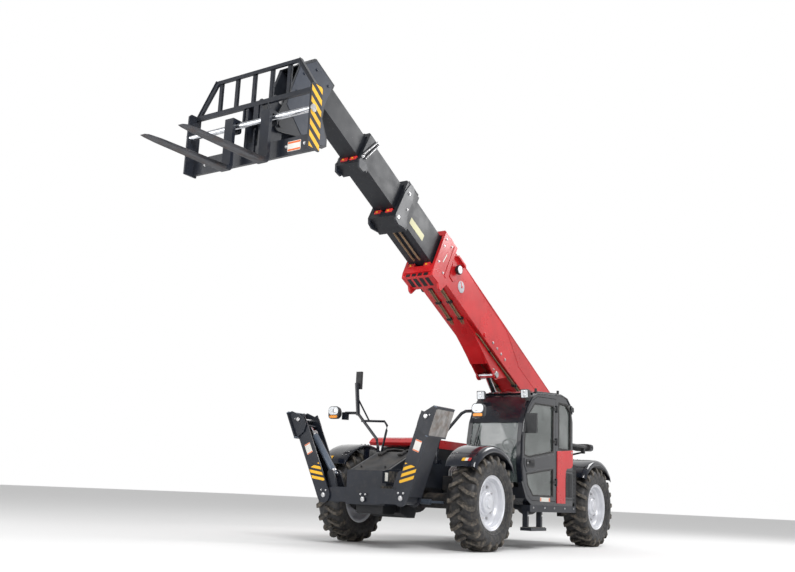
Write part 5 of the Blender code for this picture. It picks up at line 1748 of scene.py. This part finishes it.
# ---------------------------------------------------------------- boom
@dataclass
class Boom:
    """Raised four-part boom: seams, collars, pads, pipes, gauge, plates and head."""
    shop: Workshop
    base_half: float = 0.210
    base_low: float = -0.095
    collar_half: float = 0.245
    second_half: float = 0.176
    head_half: float = 0.148

    def fit(self) -> None:
        """Dress the sections and fit everything on them."""
        self.shop.dress("boom_section_1", RED, 0.008)
        self.shop.dress("boom_section_2", SECTION_BLACK, 0.006)
        self.shop.dress("boom_section_3", SECTION_BLACK, 0.006)
        self.shop.dress("boom_section_4", SECTION_BLACK, 0.006)
        self.fit_base()
        self.fit_gauge()
        self.fit_nose()
        self.fit_pipes()
        self.fit_second()
        self.fit_third()
        self.fit_head()

    def fit_base(self) -> None:
        """Welded seams, side bolts and stiffeners of the base section."""
        red = Stock(self.shop.boom)
        for side in (-1, 1):
            y = side * self.base_half
            red.pipe([(3.296, y, 0.448), (1.969, y, 0.430), (1.364, y, 0.180), (0.733, y, 0.189)], 0.005, 6)
            red.pipe([(-0.20, y, -0.085), (3.78, y, -0.085)], 0.006, 6)
            red.pipe([(-0.20, y, 0.455), (3.78, y, 0.455)], 0.006, 6)
            red.disc((0.0, 0.0, 0.03), Axis.Y, 0.155, y - side * 0.002, y + side * 0.012, 36)
            red.disc((2.495, 0.0, -0.035), Axis.Y, 0.034, y, y + side * 0.014)
        self.shop.piece("boom_seams", red, "boom_1", RED, bevel=0.002)
        bolts = Stock(self.shop.boom)
        for side in (-1, 1):
            for s in (2.238, 2.096, 1.952, 1.808):
                bolts.bolt((s, side * self.base_half, 0.012), Axis.Y, side, 0.030, 0.012)
            bolts.turned([(0.0, side * 0.149), (0.052, side * 0.149), (0.052, side * 0.165),
                    (0.044, side * 0.172), (0.0, side * 0.172)], (1.84, 0.0, -0.280), Axis.Y, 28)
            bolts.bolt((1.94, side * 0.150, -0.255), Axis.Y, side, 0.022, 0.014)
        self.shop.piece("boom_side_bolts", bolts, "boom_1", ZINC, bevel=0.001)

    def fit_gauge(self) -> None:
        """Boom angle gauge, its needle, and the lamp on its bracket."""
        y = self.base_half
        dial = Stock(self.shop.boom)
        dial.turned([(0.0, y), (0.086, y), (0.086, y + 0.006), (0.078, y + 0.010), (0.0, y + 0.010)],
                (3.40, 0.0, 0.135), Axis.Y, 40)
        dial.slot = 1
        for k in range(9):
            angle = math.radians(20 + 17.5 * k)
            a, b = 0.058, 0.072
            dial.pipe([(3.40 + a * math.cos(angle), y + 0.010, 0.135 + a * math.sin(angle)),
                    (3.40 + b * math.cos(angle), y + 0.010, 0.135 + b * math.sin(angle))], 0.002, 4)
        dial.slot = 2
        dial.plate([(3.395, 0.130), (3.462, 0.190), (3.457, 0.196), (3.388, 0.142)], Axis.Y, y + 0.010,
                y + 0.015)
        dial.disc((3.395, 0.0, 0.137), Axis.Y, 0.014, y + 0.010, y + 0.020, 16)
        self.shop.piece("boom_angle_gauge", dial, "boom_1", GAUGE_GREY, DEEP_BLACK, RED_PLASTIC)
        bracket = Stock(self.shop.boom)
        bracket.plate([(3.48, 0.30), (3.52, 0.43), (3.74, 0.43), (3.77, 0.34), (3.72, 0.06), (3.62, 0.05),
                (3.56, 0.12)], Axis.Y, y + 0.001, y + 0.011)
        bracket.plate([(3.50, 0.40), (3.52, 0.43), (3.74, 0.43), (3.755, 0.40)], Axis.Y, y + 0.001,
                y + 0.060)
        self.shop.piece("boom_lamp_bracket", bracket, "boom_1", RED, bevel=0.003)
        lamp = Stock(self.shop.boom)
        lamp.turned([(0.0, y + 0.010), (0.045, y + 0.012), (0.066, y + 0.035), (0.070, y + 0.070),
                (0.064, y + 0.074), (0.0, y + 0.066)], (3.633, 0.0, 0.25), Axis.Y, 32)
        lamp.slot = 1
        lamp.turned([(0.0, y + 0.064), (0.060, y + 0.070), (0.052, y + 0.077), (0.0, y + 0.082)],
                (3.633, 0.0, 0.25), Axis.Y, 32)
        self.shop.piece("boom_left_lamp", lamp, "boom_1", BLACK_PLASTIC, CLEAR_LENS, bevel=0.002)
        other = Stock(self.shop.boom)
        other.turned([(0.0, -y - 0.010), (0.045, -y - 0.012), (0.066, -y - 0.035), (0.070, -y - 0.070),
                (0.064, -y - 0.074), (0.0, -y - 0.066)], (3.60, 0.0, 0.02), Axis.Y, 32)
        other.block((3.54, -y - 0.014, -0.03), (3.66, -y, 0.12))
        self.shop.piece("boom_right_lamp", other, "boom_1", BLACK_PLASTIC, bevel=0.002)

    def fit_nose(self) -> None:
        """Cast nose of the base section, with slots, gussets, cells and wear pads."""
        half = self.collar_half
        nose = Stock(self.shop.boom)
        for side in (-1, 1):
            low, high = sorted((side * (half - 0.030), side * (half + 0.004)))
            nose.plate([(3.757, -0.100), (3.849, -0.305), (3.905, -0.300), (3.954, -0.249), (4.129, -0.255),
                    (4.152, -0.17), (4.10, -0.12), (3.86, -0.08)], Axis.Y, low, high)
            low, high = sorted((side * (half - 0.004), side * (half + 0.007)))
            nose.plate([(3.83, -0.07), (3.83, 0.47), (3.86, 0.50), (3.885, 0.47), (3.885, -0.07)], Axis.Y,
                    low, high)
        nose.plate([(3.80, 0.535), (3.90, 0.562), (3.93, 0.566), (4.13, 0.552), (4.15, 0.535)], Axis.Y,
                -half + 0.035, half - 0.035)
        nose.block((3.88, -half + 0.004, -0.252), (4.13, half - 0.004, -0.188))
        self.shop.piece("boom_nose_casting", nose, "boom_1", RED, bevel=0.006)
        cells = Stock(self.shop.boom)
        for y in (-0.150, -0.055, 0.040, 0.135):
            cells.plate(rounded((y - 0.034, -0.245), (y + 0.034, -0.196), 0.010), Axis.X, 4.129, 4.133)
            cells.plate(rounded((3.92, y - 0.030), (4.09, y + 0.030), 0.012), Axis.Z, -0.2545, -0.2515)
        self.shop.piece("boom_nose_cells", cells, "boom_1", DEEP_BLACK)
        slots = Stock(self.shop.boom)
        slots.plate([(3.966, 0.237), (3.984, 0.240), (4.012, 0.086), (3.994, 0.083)], Axis.Y, half - 0.001,
                half + 0.002)
        slots.plate([(3.966, 0.237), (3.984, 0.240), (4.012, 0.086), (3.994, 0.083)], Axis.Y, -half - 0.002,
                -half + 0.001)
        self.shop.piece("boom_nose_slots", slots, "boom_1", WHITE_LABEL)
        self.fit_pads("boom_1", (4.10, 4.185), -0.105, -0.044, 0.125)
        bolts = Stock(self.shop.boom)
        for side in (-1, 1):
            for s, n in ((4.09, 0.42), (4.09, 0.30), (4.09, 0.02), (3.93, 0.42), (3.93, -0.05)):
                bolts.bolt((s, side * half, n), Axis.Y, side, 0.026, 0.014)
            for s in (3.87, 4.07):
                bolts.bolt((s, side * 0.13, 0.552), Axis.Z, 1, 0.026, 0.018)
        self.shop.piece("boom_nose_bolts", bolts, "boom_1", ZINC, bevel=0.001)

    def fit_pads(self, body: str, span: Point2, low: float, high: float, y: float) -> None:
        """Red wear pads with yellow tips under the next section.

        Args:
            body: section that carries the pads.
            span: start and end along the boom.
            low: underside of the pads.
            high: top of the pads.
            y: distance of each pad from the middle.
        """
        pads = Stock(self.shop.boom)
        for side in (-1, 1):
            left, right = sorted((side * (y - 0.050), side * (y + 0.050)))
            pads.slot = 0
            pads.block((span[0], left, low), (span[1] - 0.014, right, high))
            pads.slot = 1
            pads.block((span[1] - 0.016, left + 0.030, low + 0.012), (span[1] - 0.006, right - 0.045,
                    high - 0.022))
        self.shop.piece(body + "_wear_pads", pads, body, RED_PLASTIC, WARNING, bevel=0.004)

    def fit_pipes(self) -> None:
        """Steel pipes clamped under the base section, their clamps and grommets."""
        n = self.base_low - 0.016
        pipes = Stock(self.shop.boom)
        for shift in (0.0, 0.030):
            pipes.pipe([(3.70, -0.089 + shift, n + 0.03), (3.64, -0.089 + shift, n),
                    (2.83, -0.128 + shift, n), (2.29, -0.162 + shift, n), (0.60, -0.168 + shift, n),
                    (0.30, -0.168 + shift, n + 0.03)], 0.011, 10)
            pipes.pipe([(3.71, 0.116 - shift, n + 0.03), (3.65, 0.116 - shift, n), (2.83, 0.078 - shift, n),
                    (2.58, 0.166 - shift, n), (1.96, 0.162 - shift, n), (1.18, 0.190 - shift, n),
                    (0.50, 0.190 - shift, n), (0.25, 0.190 - shift, n + 0.03)], 0.011, 10)
        self.shop.piece("boom_pipes", pipes, "boom_1", PIPE_BROWN)
        clamps = Stock(self.shop.boom)
        for s, right, left in ((3.39, -0.09, 0.09), (3.01, -0.105, 0.075), (2.20, -0.15, 0.132),
                (1.30, -0.152, 0.168), (0.72, -0.152, 0.172)):
            for y in (right, left):
                clamps.block((s - 0.02, y - 0.042, n - 0.014), (s + 0.02, y + 0.042, n + 0.017))
                clamps.bolt((s, y, n - 0.014), Axis.Z, -1, 0.014, 0.008)
        for y in (-0.075, 0.101):
            clamps.disc((3.665, y, self.base_low - 0.006), Axis.Z, 0.036, -0.006, 0.008, 18)
        self.shop.piece("boom_pipe_clamps", clamps, "boom_1", DEEP_BLACK, bevel=0.003)
        top = Stock(self.shop.boom)
        for y in (-0.06, -0.02, 0.02, 0.06):
            top.pipe([(0.35, y, 0.47), (0.45, y, 0.482), (3.60, y, 0.482), (3.78, y, 0.52)], 0.010, 8)
        for s in (0.7, 1.6, 2.5, 3.4):
            top.block((s - 0.015, -0.085, 0.465), (s + 0.015, 0.085, 0.498))
        self.shop.piece("boom_top_pipes", top, "boom_1", SEAL, bevel=0.002)

    def fit_second(self) -> None:
        """Faded plate, pipes and collar details of the second section."""
        half = self.second_half
        label = Stock(self.shop.boom)
        label.plate(rounded((4.48, 0.055), (4.90, 0.155), 0.008, 2), Axis.Y, half - 0.001, half + 0.0015)
        self.shop.piece("boom_2_plate", label, "boom_2", CREAM_LABEL)
        pipes = Stock(self.shop.boom)
        for y in (-0.045, 0.045):
            pipes.pipe([(4.95, y, -0.062), (4.30, y, -0.062), (4.24, y, -0.052)], 0.014, 10)
        pipes.block((4.86, -0.075, -0.085), (4.90, 0.075, -0.036))
        self.shop.piece("boom_2_pipes", pipes, "boom_2", PIPE_BROWN, bevel=0.002)
        collar = Stock(self.shop.boom)
        wide = 0.212
        collar.pair([(4.90, -0.08), (4.93, -0.13), (5.07, -0.189), (5.15, -0.175), (5.19, -0.11),
                (5.18, 0.30), (5.14, 0.470), (5.08, 0.496), (5.02, 0.46), (4.98, 0.30), (4.97, 0.05)],
                wide - 0.020, wide + 0.010)
        collar.block((4.90, -wide + 0.01, 0.492), (5.16, wide - 0.01, 0.512))
        self.shop.piece("boom_2_collar_plates", collar, "boom_2", SLATE, bevel=0.004)
        marks = Stock(self.shop.boom)
        for side in (-1, 1):
            marks.bolt((5.09, side * (wide + 0.010), 0.34), Axis.Y, side, 0.036, 0.016)
            marks.bolt((5.02, side * (wide + 0.010), 0.12), Axis.Y, side, 0.026, 0.012)
            marks.disc((5.12, 0.0, -0.101), Axis.Y, 0.026, side * (wide + 0.009), side * (wide + 0.013))
        self.shop.piece("boom_2_collar_bolts", marks, "boom_2", ZINC, bevel=0.001)
        self.fit_pads("boom_2", (5.14, 5.215), -0.062, -0.002, 0.088)

    def fit_third(self) -> None:
        """Silver tie bars, top loop and pads of the third section's collar."""
        wide = 0.182
        bars = Stock(self.shop.boom)
        for side in (-1, 1):
            y = side * (wide + 0.014)
            bars.pipe([(6.088, y, 0.065), (5.950, y, 0.425)], 0.012, 10)
            bars.pipe([(6.030, y, 0.045), (5.915, y, 0.400)], 0.012, 10)
            for s, n in ((6.075, 0.045), (5.930, 0.425)):
                bars.bolt((s, side * (wide + 0.001), n), Axis.Y, side, 0.030, 0.024)
        self.shop.piece("boom_3_tie_bars", bars, "boom_3", ZINC, bevel=0.001)
        collar = Stock(self.shop.boom)
        collar.pair([(5.92, -0.02), (5.96, -0.115), (6.06, -0.130), (6.11, -0.04), (6.10, 0.0),
                (5.99, 0.02)], wide - 0.020, wide + 0.008)
        for x in (5.965, 6.045):
            collar.pipe([(x, -0.06, 0.445), (x, -0.055, 0.50), (x, 0.0, 0.525), (x, 0.055, 0.50),
                    (x, 0.06, 0.445)], 0.010, 8)
        self.shop.piece("boom_3_collar_plates", collar, "boom_3", SLATE, bevel=0.004)
        self.fit_pads("boom_3", (6.06, 6.125), -0.016, 0.040, 0.070)

    def fit_head(self) -> None:
        """Slate cheeks with their bolts, and couplers on the boom's head."""
        half = self.head_half
        cheeks = Stock(self.shop.boom)
        outline = [(6.93, 0.400), (7.32, 0.400), (7.488, 0.10), (7.432, -0.34), (7.40, -0.47),
                (7.03, -0.585), (6.675, -0.41), (6.635, -0.35), (6.675, -0.28), (6.87, -0.13), (6.91, 0.01)]
        cheeks.pair(offset_outline(outline, -0.012), half - 0.004, half + 0.004)
        for s, n in ((7.00, 0.30), (7.25, 0.30), (7.38, 0.08), (7.36, -0.20), (6.98, -0.10)):
            for side in (-1, 1):
                cheeks.bolt((s, side * (half + 0.004), n), Axis.Y, side, 0.030, 0.012)
        cheeks.plate([(6.70, -0.36), (6.76, -0.30), (6.95, -0.18), (7.02, -0.20), (6.80, -0.43)], Axis.Y,
                -0.125, 0.125)
        self.shop.piece("boom_head_cheeks", cheeks, "boom_4", HEAD_BLUE, bevel=0.003)
        fittings = Stock(self.shop.boom)
        for k, y in enumerate((-0.085, -0.035, 0.035, 0.085)):
            fittings.slot = k % 2
            fittings.turned([(0.0, 0.0), (0.018, 0.0), (0.018, 0.055), (0.013, 0.062), (0.0, 0.062)],
                    (7.10, y, 0.409), Axis.Z, 16)
        self.shop.piece("boom_head_couplers", fittings, "boom_4", RED_PLASTIC, ZINC, bevel=0.002)


@dataclass
class LiftCylinder:
    """Main lift cylinder: finishes and gland."""
    shop: Workshop
    radius: float = 0.085
    length: float = 1.34

    def fit(self) -> None:
        """Dress the two nodes and add the gland, its bolts and a feed pipe."""
        self.shop.dress("lift_cylinder_barrel", CYLINDER, 0.004)
        self.shop.dress("lift_cylinder_rod", CHROME, 0.002)
        base = self.shop.pin("lift_cylinder_barrel_pin")
        axis = Vector(self.shop.joints["lift_cylinder_rod_slide"]["axis"])
        place = Matrix.Translation(base) @ Matrix.Rotation(-math.atan2(axis.z, axis.x), 4, "Y")
        stock = Stock(place)
        end = self.length
        stock.turned([(self.radius, end - 0.10), (0.096, end - 0.095), (0.096, end - 0.006),
                (0.088, end + 0.004), (0.056, end + 0.004), (0.056, end - 0.10)], (0, 0, 0), Axis.X, 32)
        stock.bolt_circle((end + 0.003, 0.0, 0.0), 0.074, 6, Axis.X, 1, 0.014, 0.008)
        stock.pipe([(0.08, 0.088, 0.02), (0.12, 0.100, 0.02), (end - 0.16, 0.100, 0.02),
                (end - 0.08, 0.090, 0.02)], 0.011, 8)
        stock.block((0.04, 0.060, -0.01), (0.10, 0.105, 0.05))
        self.shop.piece("lift_cylinder_gland", stock, "lift_barrel", CYLINDER, bevel=0.002)


# ---------------------------------------------------------------- fork carriage
@dataclass
class Carriage:
    """Fork frame with its striped side plates, pins, forks and tilt cylinder."""
    shop: Workshop
    half: float = 0.906
    low_z: float = 4.04
    top_z: float = 4.76
    shaft: Point2 = (5.20, 4.475)
    heel_z: float = 3.95
    tip_x: float = 6.42
    crown: float = 0.616
    crown_z: float = 5.14

    def fit(self) -> None:
        """Dress the nodes and fit the details."""
        self.shop.dress("tilt_cylinder_barrel", CYLINDER, 0.003)
        self.shop.dress("tilt_cylinder_rod", CHROME, 0.001)
        self.fit_frame()
        self.fit_hitch()
        self.fit_stripes()
        self.fit_trim()
        self.fit_forks()
        self.fit_tilt()

    def fit_stripes(self) -> None:
        """Slanted warning stripes on the outer faces and front edges of the side plates."""
        stripes = Stock(self.shop.machine)
        for side in (-1, 1):
            for k in range(7):
                low = self.low_z - 0.12 + 0.125 * k
                slant = [(5.07, low), (5.07, low + 0.062), (5.238, low + 0.182), (5.238, low + 0.120)]
                outline = clipped(slant, self.low_z + 0.012, self.top_z - 0.012)
                if len(outline) > 2:
                    near, far = sorted((side * (self.half - 0.001), side * (self.half + 0.0012)))
                    stripes.plate(outline, Axis.Y, near, far)
        self.shop.piece("carriage_stripes", stripes, "carriage", WARNING)

    def fit_frame(self) -> None:
        """Welded fork frame: side plates, beams, fork shaft and the open backrest."""
        stock = Stock(self.shop.machine)
        half = self.half
        for side in (-1, 1):
            low, high = sorted((side * (half - 0.022), side * half))
            stock.plate([(5.062, self.low_z), (5.245, self.low_z), (5.245, self.top_z - 0.03),
                    (5.215, self.top_z), (5.062, self.top_z)], Axis.Y, low, high)
            slope = [(side * (half - 0.010), self.top_z - 0.03), (side * (half - 0.062), self.top_z - 0.03),
                    (side * (self.crown - 0.030), self.crown_z - 0.040), (side * (self.crown + 0.004),
                    self.crown_z - 0.004)]
            stock.plate(slope, Axis.X, 5.099, 5.131)
            slope = [(side * (half - 0.010), self.top_z - 0.03), (side * (half - 0.016), self.top_z - 0.03),
                    (side * (self.crown - 0.002), self.crown_z), (side * (self.crown + 0.004),
                    self.crown_z)]
            stock.plate(slope, Axis.X, 5.090, 5.145)
        stock.plate([(5.068, self.low_z + 0.020), (5.120, self.low_z + 0.014), (5.120, self.low_z + 0.205),
                (5.108, self.low_z + 0.205), (5.108, self.low_z + 0.04), (5.068, self.low_z + 0.04)],
                Axis.Y, -half + 0.010, half - 0.010)
        stock.block((5.100, -half + 0.010, self.top_z - 0.055), (5.140, half - 0.010, self.top_z))
        stock.block((5.070, -half + 0.010, self.top_z - 0.012), (5.102, half - 0.010, self.top_z))
        stock.block((5.100, -self.crown, self.crown_z - 0.042), (5.130, self.crown, self.crown_z))
        stock.block((5.085, -self.crown, self.crown_z - 0.010), (5.102, self.crown, self.crown_z))
        for y in (-0.56, -0.31, -0.05, 0.21, 0.46):
            stock.block((5.104, y - 0.026, self.top_z - 0.03), (5.112, y + 0.026, self.crown_z - 0.02))
            stock.block((5.084, y + 0.018, self.top_z - 0.03), (5.112, y + 0.026, self.crown_z - 0.02))
        stock.slot = 1
        x, z = self.shaft
        stock.disc((x, 0.0, z), Axis.Y, 0.034, -half + 0.005, half - 0.005, 32)
        self.shop.piece("carriage_frame", stock, "carriage", SLATE, CHROME, replaces=("fork_carriage",),
                bevel=0.003)

    def fit_hitch(self) -> None:
        """Quick hitch: two lobed plates, their cross pins and the centre uprights."""
        stock = Stock(self.shop.machine)
        outline = [(4.80, 4.20), (5.10, 4.07), (5.13, 4.25), (5.13, 4.74), (5.05, 4.74),
                (4.93, 4.90)] + arc((4.84, 4.865), 0.05, 40, 180, 8)
        outline += arc((4.87, 4.565), 0.10, 150, 210, 6)
        stock.pair(outline, 0.085, 0.115)
        stock.block((5.062, -0.112, 4.062), (5.108, 0.112, 4.300))
        stock.plate([(5.106, 4.07), (5.138, 4.10), (5.138, 4.42), (5.125, 4.45), (5.106, 4.45)], Axis.Y,
                0.02, 0.045)
        stock.block((5.108, 0.00, 4.53), (5.138, 0.070, self.top_z - 0.02))
        for y in (-0.16, 0.20):
            stock.plate([(5.10, self.top_z - 0.02), (5.138, self.top_z - 0.02), (5.138, 4.535),
                    (5.10, 4.535)], Axis.Y, y, y + 0.018)
        stock.slot = 1
        stock.disc((4.84, 0.0, 4.865), Axis.Y, 0.022, -0.09, 0.09)
        self.shop.piece("carriage_hitch", stock, "carriage", SLATE, CHROME, bevel=0.003)

    def fit_trim(self) -> None:
        """Blank plate, pin caps and bolts of the fork frame."""
        x, z = self.shaft
        bolts = Stock(self.shop.machine)
        for side in (-1, 1):
            edge = side * (self.half + 0.0005)
            bolts.disc((x, 0.0, z), Axis.Y, 0.044, edge - side * 0.002, edge + side * 0.008, 24)
            bolts.turned([(0.0, side * 0.114), (0.052, side * 0.114), (0.052, side * 0.124),
                    (0.040, side * 0.130), (0.0, side * 0.130)], (4.84, 0.0, 4.865), Axis.Y, 24)
        for y in (-0.70, -0.40, 0.50, 0.75):
            bolts.bolt((5.12, y, 4.15), Axis.X, 1, 0.026, 0.012)
        self.shop.piece("carriage_bolts", bolts, "carriage", ZINC, bevel=0.001)
        label = Stock(self.shop.machine)
        label.plate(rounded((0.52, 4.09), (0.70, 4.20), 0.006, 2), Axis.X, 5.1195, 5.1222)
        label.slot = 1
        label.block((5.121, 0.525, 4.095), (5.1228, 0.695, 4.115))
        label.block((5.121, 0.525, 4.175), (5.1228, 0.695, 4.195))
        self.shop.piece("carriage_plate", label, "carriage", WHITE_LABEL, ORANGE_LABEL)

    def fit_forks(self) -> None:
        """Forged forks: painted hook and shank, worn tapering blade with a chisel tip."""
        x, z = self.shaft
        face = x + 0.0373
        heel = face + 0.045
        for name in ("right_fork", "left_fork"):
            low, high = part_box(name)
            y = (low.y + high.y) / 2
            half = (high.y - low.y) / 2
            place = self.shop.machine @ Matrix.Translation((0.0, y, 0.0))
            fork = Stock(place)
            fork.plate([(face, self.heel_z + 0.06), (face + 0.008, self.heel_z + 0.022),
                    (face + 0.030, self.heel_z), (heel + 0.04, self.heel_z),
                    (heel + 0.04, self.heel_z + 0.049), (heel + 0.016, self.heel_z + 0.054),
                    (heel, self.heel_z + 0.080), (heel, z + 0.075), (face, z + 0.075)], Axis.Y, -half, half)
            fork.block((x - 0.055, -half, z + 0.0365), (face + 0.002, half, z + 0.075))
            fork.plate([(x - 0.055, z - 0.055), (x - 0.038, z - 0.075), (x - 0.0365, z + 0.04),
                    (x - 0.055, z + 0.05)], Axis.Y, -half, half)
            fork.slot = 1
            tip = self.tip_x
            rings = []
            for along, wide, rise in ((heel + 0.038, half, 0.049), (heel + 0.30, half, 0.045),
                    (tip - 0.20, half, 0.030), (tip - 0.05, half - 0.014, 0.024),
                    (tip, half - 0.030, 0.014)):
                base = self.heel_z + 0.008 * max(0.0, (along - heel) / (tip - heel))
                top = self.heel_z + rise
                edge = min(0.006, (top - base) * 0.4)
                rings.append([(along, -wide + edge, base), (along, wide - edge, base),
                        (along, wide, base + edge), (along, wide, top - edge), (along, wide - edge, top),
                        (along, -wide + edge, top), (along, -wide, top - edge),
                        (along, -wide, base + edge)])
            fork.loft(rings)
            self.shop.piece(name + "_forged", fork, name, SLATE, FORK_STEEL, replaces=(name,), bevel=0.003)

    def fit_tilt(self) -> None:
        """Gland of the tilt cylinder."""
        base = self.shop.pin("tilt_cylinder_barrel_pin")
        axis = Vector(self.shop.joints["tilt_cylinder_rod_slide"]["axis"])
        place = Matrix.Translation(base) @ Matrix.Rotation(-math.atan2(axis.z, axis.x), 4, "Y")
        stock = Stock(place)
        stock.turned([(0.0505, 0.36), (0.056, 0.365), (0.056, 0.428), (0.050, 0.433), (0.031, 0.433),
                (0.031, 0.36)], (0, 0, 0), Axis.X, 28)
        self.shop.piece("tilt_cylinder_gland", stock, "tilt_barrel", CYLINDER, bevel=0.002)


# ---------------------------------------------------------------- studio
@dataclass
class Studio:
    """Pale floor, soft light and the camera."""
    camera_place: Point3 = (10.141, 6.796, 0.623)
    yaw: float = 214.679
    pitch: float = 12.640
    roll: float = 2.516
    lens: float = 42.30
    sensor: float = 36.0
    floor_size: float = 160.0
    floor_colour: tuple[float, float, float, float] = (0.88, 0.88, 0.88, 1.0)
    front_glow: float = 0.42
    rear_glow: float = 1.0

    def build(self) -> None:
        """Build the floor, the lights, the sky and the camera."""
        self.build_floor()
        self.build_sky()
        self.build_lights()
        self.build_camera()

    def build_floor(self) -> None:
        """Plain pale floor under the wheels."""
        half = self.floor_size / 2
        mesh = bpy.data.meshes.new("floor")
        mesh.from_pydata([(-half, -half, 0.0), (half, -half, 0.0), (half, half, 0.0), (-half, half, 0.0)],
                [], [(0, 1, 2, 3)])
        floor = bpy.data.objects.new("floor", mesh)
        bpy.context.scene.collection.objects.link(floor)
        plain = bpy.data.materials.new("pale_floor")
        plain.use_nodes = True
        shader = plain.node_tree.nodes["Principled BSDF"]
        shader.inputs["Base Color"].default_value = self.floor_colour
        shader.inputs["Roughness"].default_value = 0.9
        shader.inputs["Specular IOR Level"].default_value = 0.1
        mesh.materials.append(plain)

    def build_sky(self) -> None:
        """White surroundings behind the machine that fall off to grey in front of it."""
        world = bpy.data.worlds.new("studio_white")
        world.use_nodes = True
        nodes = world.node_tree.nodes
        links = world.node_tree.links
        nodes["Background"].inputs["Color"].default_value = (1.0, 1.0, 1.0, 1.0)
        way = nodes.new("ShaderNodeTexCoord")
        facing = nodes.new("ShaderNodeVectorMath")
        facing.operation = "DOT_PRODUCT"
        behind = math.radians(self.yaw)
        facing.inputs[1].default_value = (math.cos(behind), math.sin(behind), 0.0)
        fall = nodes.new("ShaderNodeMapRange")
        fall.inputs["From Min"].default_value = 0.05
        fall.inputs["From Max"].default_value = 0.65
        fall.inputs["To Min"].default_value = self.front_glow
        fall.inputs["To Max"].default_value = self.rear_glow
        links.new(way.outputs["Generated"], facing.inputs[0])
        links.new(facing.outputs["Value"], fall.inputs["Value"])
        links.new(fall.outputs["Result"], nodes["Background"].inputs["Strength"])
        bpy.context.scene.world = world
        bpy.context.scene.view_settings.view_transform = "Standard"

    def build_lights(self) -> None:
        """One broad soft key from the front left, a fill and a rim light."""
        for name, spot, aim, energy, size in (("key", (9.0, 9.5, 10.5), (0.0, 0.0, 2.0), 1500.0, 6.0),
                ("fill", (12.0, -6.0, 5.0), (0.0, 0.0, 2.2), 420.0, 7.0), ("rim", (-9.0, 5.0, 9.0),
                (-1.0, 0.0, 2.0), 600.0, 5.0)):
            light = bpy.data.lights.new(name, "AREA")
            light.energy = energy
            light.size = size
            lamp = bpy.data.objects.new(name, light)
            lamp.location = spot
            lamp.rotation_euler = (Vector(aim) - Vector(spot)).to_track_quat("-Z", "Y").to_euler()
            bpy.context.scene.collection.objects.link(lamp)

    def build_camera(self) -> None:
        """Low camera that looks up at the raised boom."""
        yaw, pitch, roll = (math.radians(a) for a in (self.yaw, self.pitch, self.roll))
        ahead = Vector((math.cos(yaw) * math.cos(pitch), math.sin(yaw) * math.cos(pitch), math.sin(pitch)))
        right = Vector((math.sin(yaw), -math.cos(yaw), 0.0))
        above = right.cross(ahead)
        side = math.cos(roll) * right + math.sin(roll) * above
        top = -math.sin(roll) * right + math.cos(roll) * above
        lens = bpy.data.cameras.new("camera")
        lens.lens = self.lens
        lens.sensor_width = self.sensor
        lens.clip_end = 400.0
        camera = bpy.data.objects.new("camera", lens)
        turn = Matrix((side, top, -ahead)).transposed().to_4x4()
        camera.matrix_world = Matrix.Translation(self.camera_place) @ turn
        bpy.context.scene.collection.objects.link(camera)
        bpy.context.scene.camera = camera


def main() -> None:
    """Load the frame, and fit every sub-assembly."""
    logging.basicConfig(level=logging.INFO, format="%(message)s")
    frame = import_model()
    shop = Workshop(frame)
    for corner in Corner:
        wheel = Wheel(shop, corner)
        wheel.fit_tyre()
        wheel.fit_rim()
        Mudguard(shop, corner).fit()
    Axles(shop).fit()
    Chassis(shop).fit()
    Stabiliser(shop, "right", -1, 0.638).fit()
    Stabiliser(shop, "left", 1, 0.5595).fit()
    for assembly in (Cab, EngineSide, FrontLamps, Boom, LiftCylinder, Carriage):
        assembly(shop).fit()
    Studio().build()


if __name__ == "__main__":
    main()
